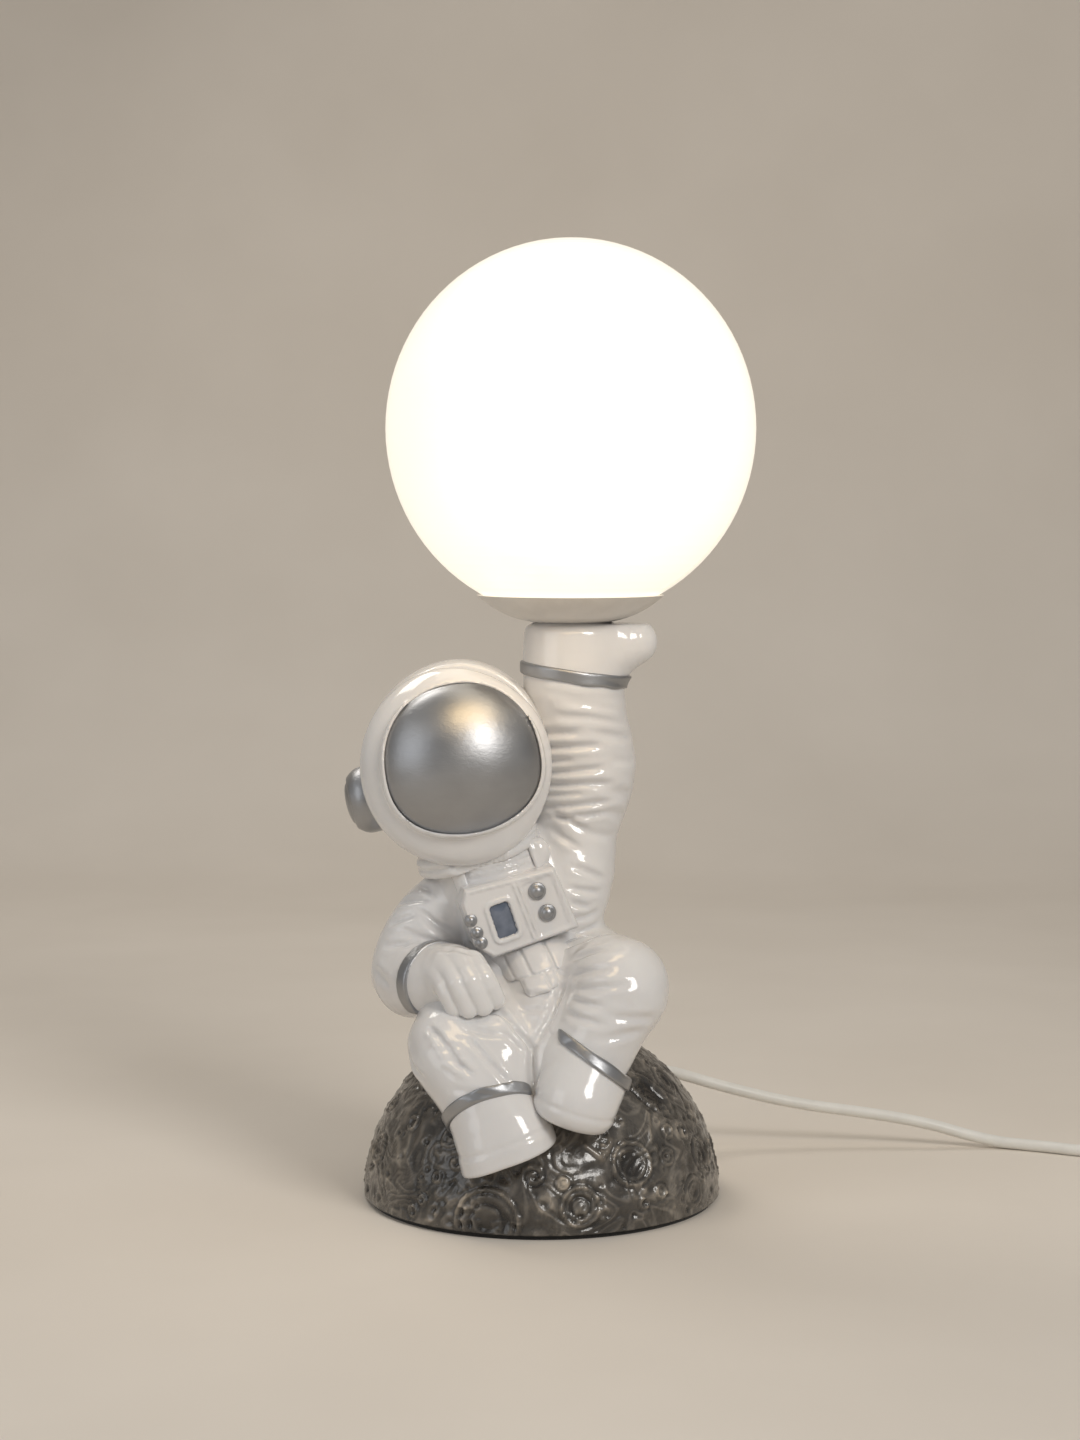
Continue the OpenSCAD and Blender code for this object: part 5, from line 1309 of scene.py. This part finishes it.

# ---- Silver bands ----
# A raised strip round each wrist and ankle, painted silver by hand over the joint of two castings.
# All but the raised wrist's strip stop in a rounded end where the limb turns away behind.


def band(name, node, limb, body, hand, box, w=4.8, proud=1.25, keep=None):
    """A painted strip w mm wide round a limb's seam, as far as keep lets it go."""
    def field(P):
        brush = 0.16 * np.sin(0.34 * P[:, 0] + 0.3 * P[:, 1])
        s = np.abs(past_seam(P, limb) + brush) - w / 2 - 0.6 * brush
        d = np.minimum(clay[body](P), clay[hand](P))
        d = np.maximum(-melt(-s, -(d - proud), 1.1), -(d + 1.6))
        if keep is not None:
            d = -melt(-d, -keep(P), 1.6)
        return d
    cast(name, node, field, *box, 0.6, silver_paint, "silver_paint")


band("raised_band_cast", "raised_wrist_band", "raised", "raised", "palm",
     ((-14, -22, 203), (40, 34, 225)), w=5.4)
band("lowered_band_cast", "lowered_wrist_band", "lowered", "lowered", "glove",
     ((-66, -48, 70), (-22, -8, 116)), w=5.6, proud=0.9, keep=lambda P: (80.5 - P[:, 2]))
band("right_band_cast", "right_ankle_band", "right", "right", "right_boot",
     ((-46, -80, 24), (8, -36, 76)), keep=lambda P: P[:, 0] + 3.6)
band("left_band_cast", "left_ankle_band", "left", "left", "left_boot",
     ((-6, -78, 46), (46, -32, 92)), keep=lambda P: 6.2 - P[:, 0])

# ---- Cup and globe ----
# A spun metal dish, sprayed satin off-white, sits on the palm under a blown opal glass globe,
# which glows evenly from the bulb inside.
cup_paint, tree, shader = surface("cup_paint", (0.66, 0.63, 0.59), 0.34, Coat_Weight=0.15,
                                  Coat_Roughness=0.2)
spin = pattern(tree, "Noise", 130.0, (1, 1, 0.2), Detail=3.0)
vary(tree, shader, "Base Color", spin.outputs["Fac"], (0.35, (0.635, 0.605, 0.565)),
     (0.65, (0.68, 0.65, 0.61)))
vary(tree, shader, "Roughness", spin.outputs["Fac"], (0.3, grey(0.28)), (0.7, grey(0.42)))
relief(tree, shader, pattern(tree, "Noise", 900.0, Detail=1.0).outputs["Fac"], 0.06, 0.0002)

opal_glass, tree, shader = surface("opal_glass", (0.93, 0.9, 0.84), 0.14, Coat_Weight=0.3,
                                   Coat_Roughness=0.05)
shader.inputs["Emission Color"].default_value = (1.0, 0.93, 0.79, 1)
shader.inputs["Emission Strength"].default_value = 0.7
cloudy = pattern(tree, "Noise", 14.0, Detail=2.0)
vary(tree, shader, "Base Color", cloudy.outputs["Fac"], (0.35, (0.9, 0.87, 0.8)),
     (0.65, (0.95, 0.925, 0.87)))
relief(tree, shader, pattern(tree, "Noise", 30.0, Detail=1.0).outputs["Fac"], 0.05, 0.001)


def dress(material, *nodes):
    """A CAD piece whose shape is right keeps it, and takes a better finish."""
    for node in nodes:
        made = frame["nodes"][node]
        made.data.materials.clear()
        made.data.materials.append(material)


dress(cup_paint, "shade_cup")
dress(opal_glass, "globe_shade")

# ---- Bulb and lampholder ----
# A round opal bulb with a plastic neck and a nickel-plated screw cap, in a plain plastic holder
# with a brass screw shell, on a threaded steel tube. Sprung steel legs grip the glass.
frost, tree, shader = surface("bulb_frost", (0.9, 0.88, 0.83), 0.42)
shader.inputs["Emission Color"].default_value = (1.0, 0.9, 0.72, 1)
shader.inputs["Emission Strength"].default_value = 1.2
vary(tree, shader, "Base Color", pattern(tree, "Noise", 40.0, Detail=2.0).outputs["Fac"],
     (0.3, (0.88, 0.86, 0.8)), (0.7, (0.93, 0.91, 0.86)))
relief(tree, shader, pattern(tree, "Noise", 1200.0, Detail=1.0).outputs["Fac"], 0.1, 0.0002)

moulded, tree, shader = surface("moulded_white", (0.8, 0.79, 0.76), 0.36)
speck = pattern(tree, "Noise", 320.0, Detail=3.0)
vary(tree, shader, "Base Color", speck.outputs["Fac"], (0.3, (0.77, 0.76, 0.73)),
     (0.7, (0.82, 0.81, 0.78)))
vary(tree, shader, "Roughness", speck.outputs["Fac"], (0.3, grey(0.3)), (0.7, grey(0.44)))
relief(tree, shader, speck.outputs["Fac"], 0.12, 0.0002)

plated, tree, shader = surface("nickel_plate", (0.62, 0.61, 0.58), 0.2, 1.0)
thread = pattern(tree, "Wave", 130.0, (0, 0, 1))
thread.bands_direction = "Z"
relief(tree, shader, thread.outputs["Fac"], 0.6, 0.0006)
vary(tree, shader, "Roughness", pattern(tree, "Noise", 90.0, Detail=3.0).outputs["Fac"],
     (0.3, grey(0.16)), (0.7, grey(0.3)))

zinc, tree, shader = surface("zinc_steel", (0.5, 0.5, 0.49), 0.32, 1.0)
brushed = pattern(tree, "Noise", 260.0, (1, 1, 6), Detail=4.0)
vary(tree, shader, "Base Color", brushed.outputs["Fac"], (0.3, (0.42, 0.42, 0.42)),
     (0.7, (0.58, 0.575, 0.56)))
vary(tree, shader, "Roughness", brushed.outputs["Fac"], (0.3, grey(0.24)), (0.7, grey(0.42)))
relief(tree, shader, brushed.outputs["Fac"], 0.1, 0.0002)

brass, tree, shader = surface("brass_parts", (0.64, 0.47, 0.2), 0.28, 1.0)
tarnish = pattern(tree, "Noise", 140.0, Detail=4.0)
vary(tree, shader, "Base Color", tarnish.outputs["Fac"], (0.3, (0.5, 0.35, 0.14)),
     (0.7, (0.72, 0.54, 0.25)))
vary(tree, shader, "Roughness", tarnish.outputs["Fac"], (0.3, grey(0.22)), (0.7, grey(0.38)))

rubber, tree, shader = surface("black_rubber", (0.02, 0.02, 0.02), 0.7)
vary(tree, shader, "Base Color", pattern(tree, "Noise", 300.0, Detail=3.0).outputs["Fac"],
     (0.3, (0.014, 0.014, 0.014)), (0.7, (0.03, 0.03, 0.03)))
relief(tree, shader, pattern(tree, "Noise", 700.0, Detail=2.0).outputs["Fac"], 0.2, 0.0003)

dress(frost, "bulb_dome")
dress(plated, "bulb_cap")
dress(moulded, "bulb_neck", "lampholder", "holder_core")
dress(brass, "screw_shell", "centre_contact", "switch_contacts")
dress(zinc, "spring_clips", "lamp_tube", "tube_nut", "tube_washer", "cover_screws", "switch_screws")
dress(rubber, "cup_gasket")
dress(cord_plastic, "inner_lead")

# ---- Foot and cover ----
# A thin black felt pad closes the rock's underside, over a black plastic cover on three screws.
# Only the pad's edge shows, as a dark line between the rock and the table.
felt, tree, shader = surface("black_felt", (0.018, 0.018, 0.018), 0.95)
shader.inputs["Sheen Weight"].default_value = 0.3
fuzz = pattern(tree, "Noise", 900.0, Detail=5.0, Roughness=0.8)
vary(tree, shader, "Base Color", fuzz.outputs["Fac"], (0.3, (0.01, 0.01, 0.01)),
     (0.7, (0.035, 0.034, 0.033)))
relief(tree, shader, fuzz.outputs["Fac"], 0.6, 0.0006)
black, tree, shader = surface("black_plastic", (0.02, 0.02, 0.021), 0.45)
grain = pattern(tree, "Voronoi", 800.0)
relief(tree, shader, grain.outputs["Distance"], 0.25, 0.0003)
vary(tree, shader, "Roughness", pattern(tree, "Noise", 120.0).outputs["Fac"], (0.3, grey(0.38)),
     (0.7, grey(0.55)))
dress(felt, "foot_pad")
dress(black, "base_cover", "cord_tie")

# ---- Gland, switch and plug ----
# White moulded fittings: the cord's gland and its nut, a two-part inline switch with its rocker,
# and a flat two-pin plug with nickel-plated brass pins.
dress(moulded, "cord_gland", "gland_nut", "switch_base", "switch_lid", "switch_rocker", "plug_body")
pins, tree, shader = surface("pin_plate", (0.6, 0.58, 0.53), 0.22, 1.0)
vary(tree, shader, "Roughness", pattern(tree, "Noise", 200.0, Detail=3.0).outputs["Fac"],
     (0.3, grey(0.16)), (0.7, grey(0.34)))
dress(pins, "plug_pins")
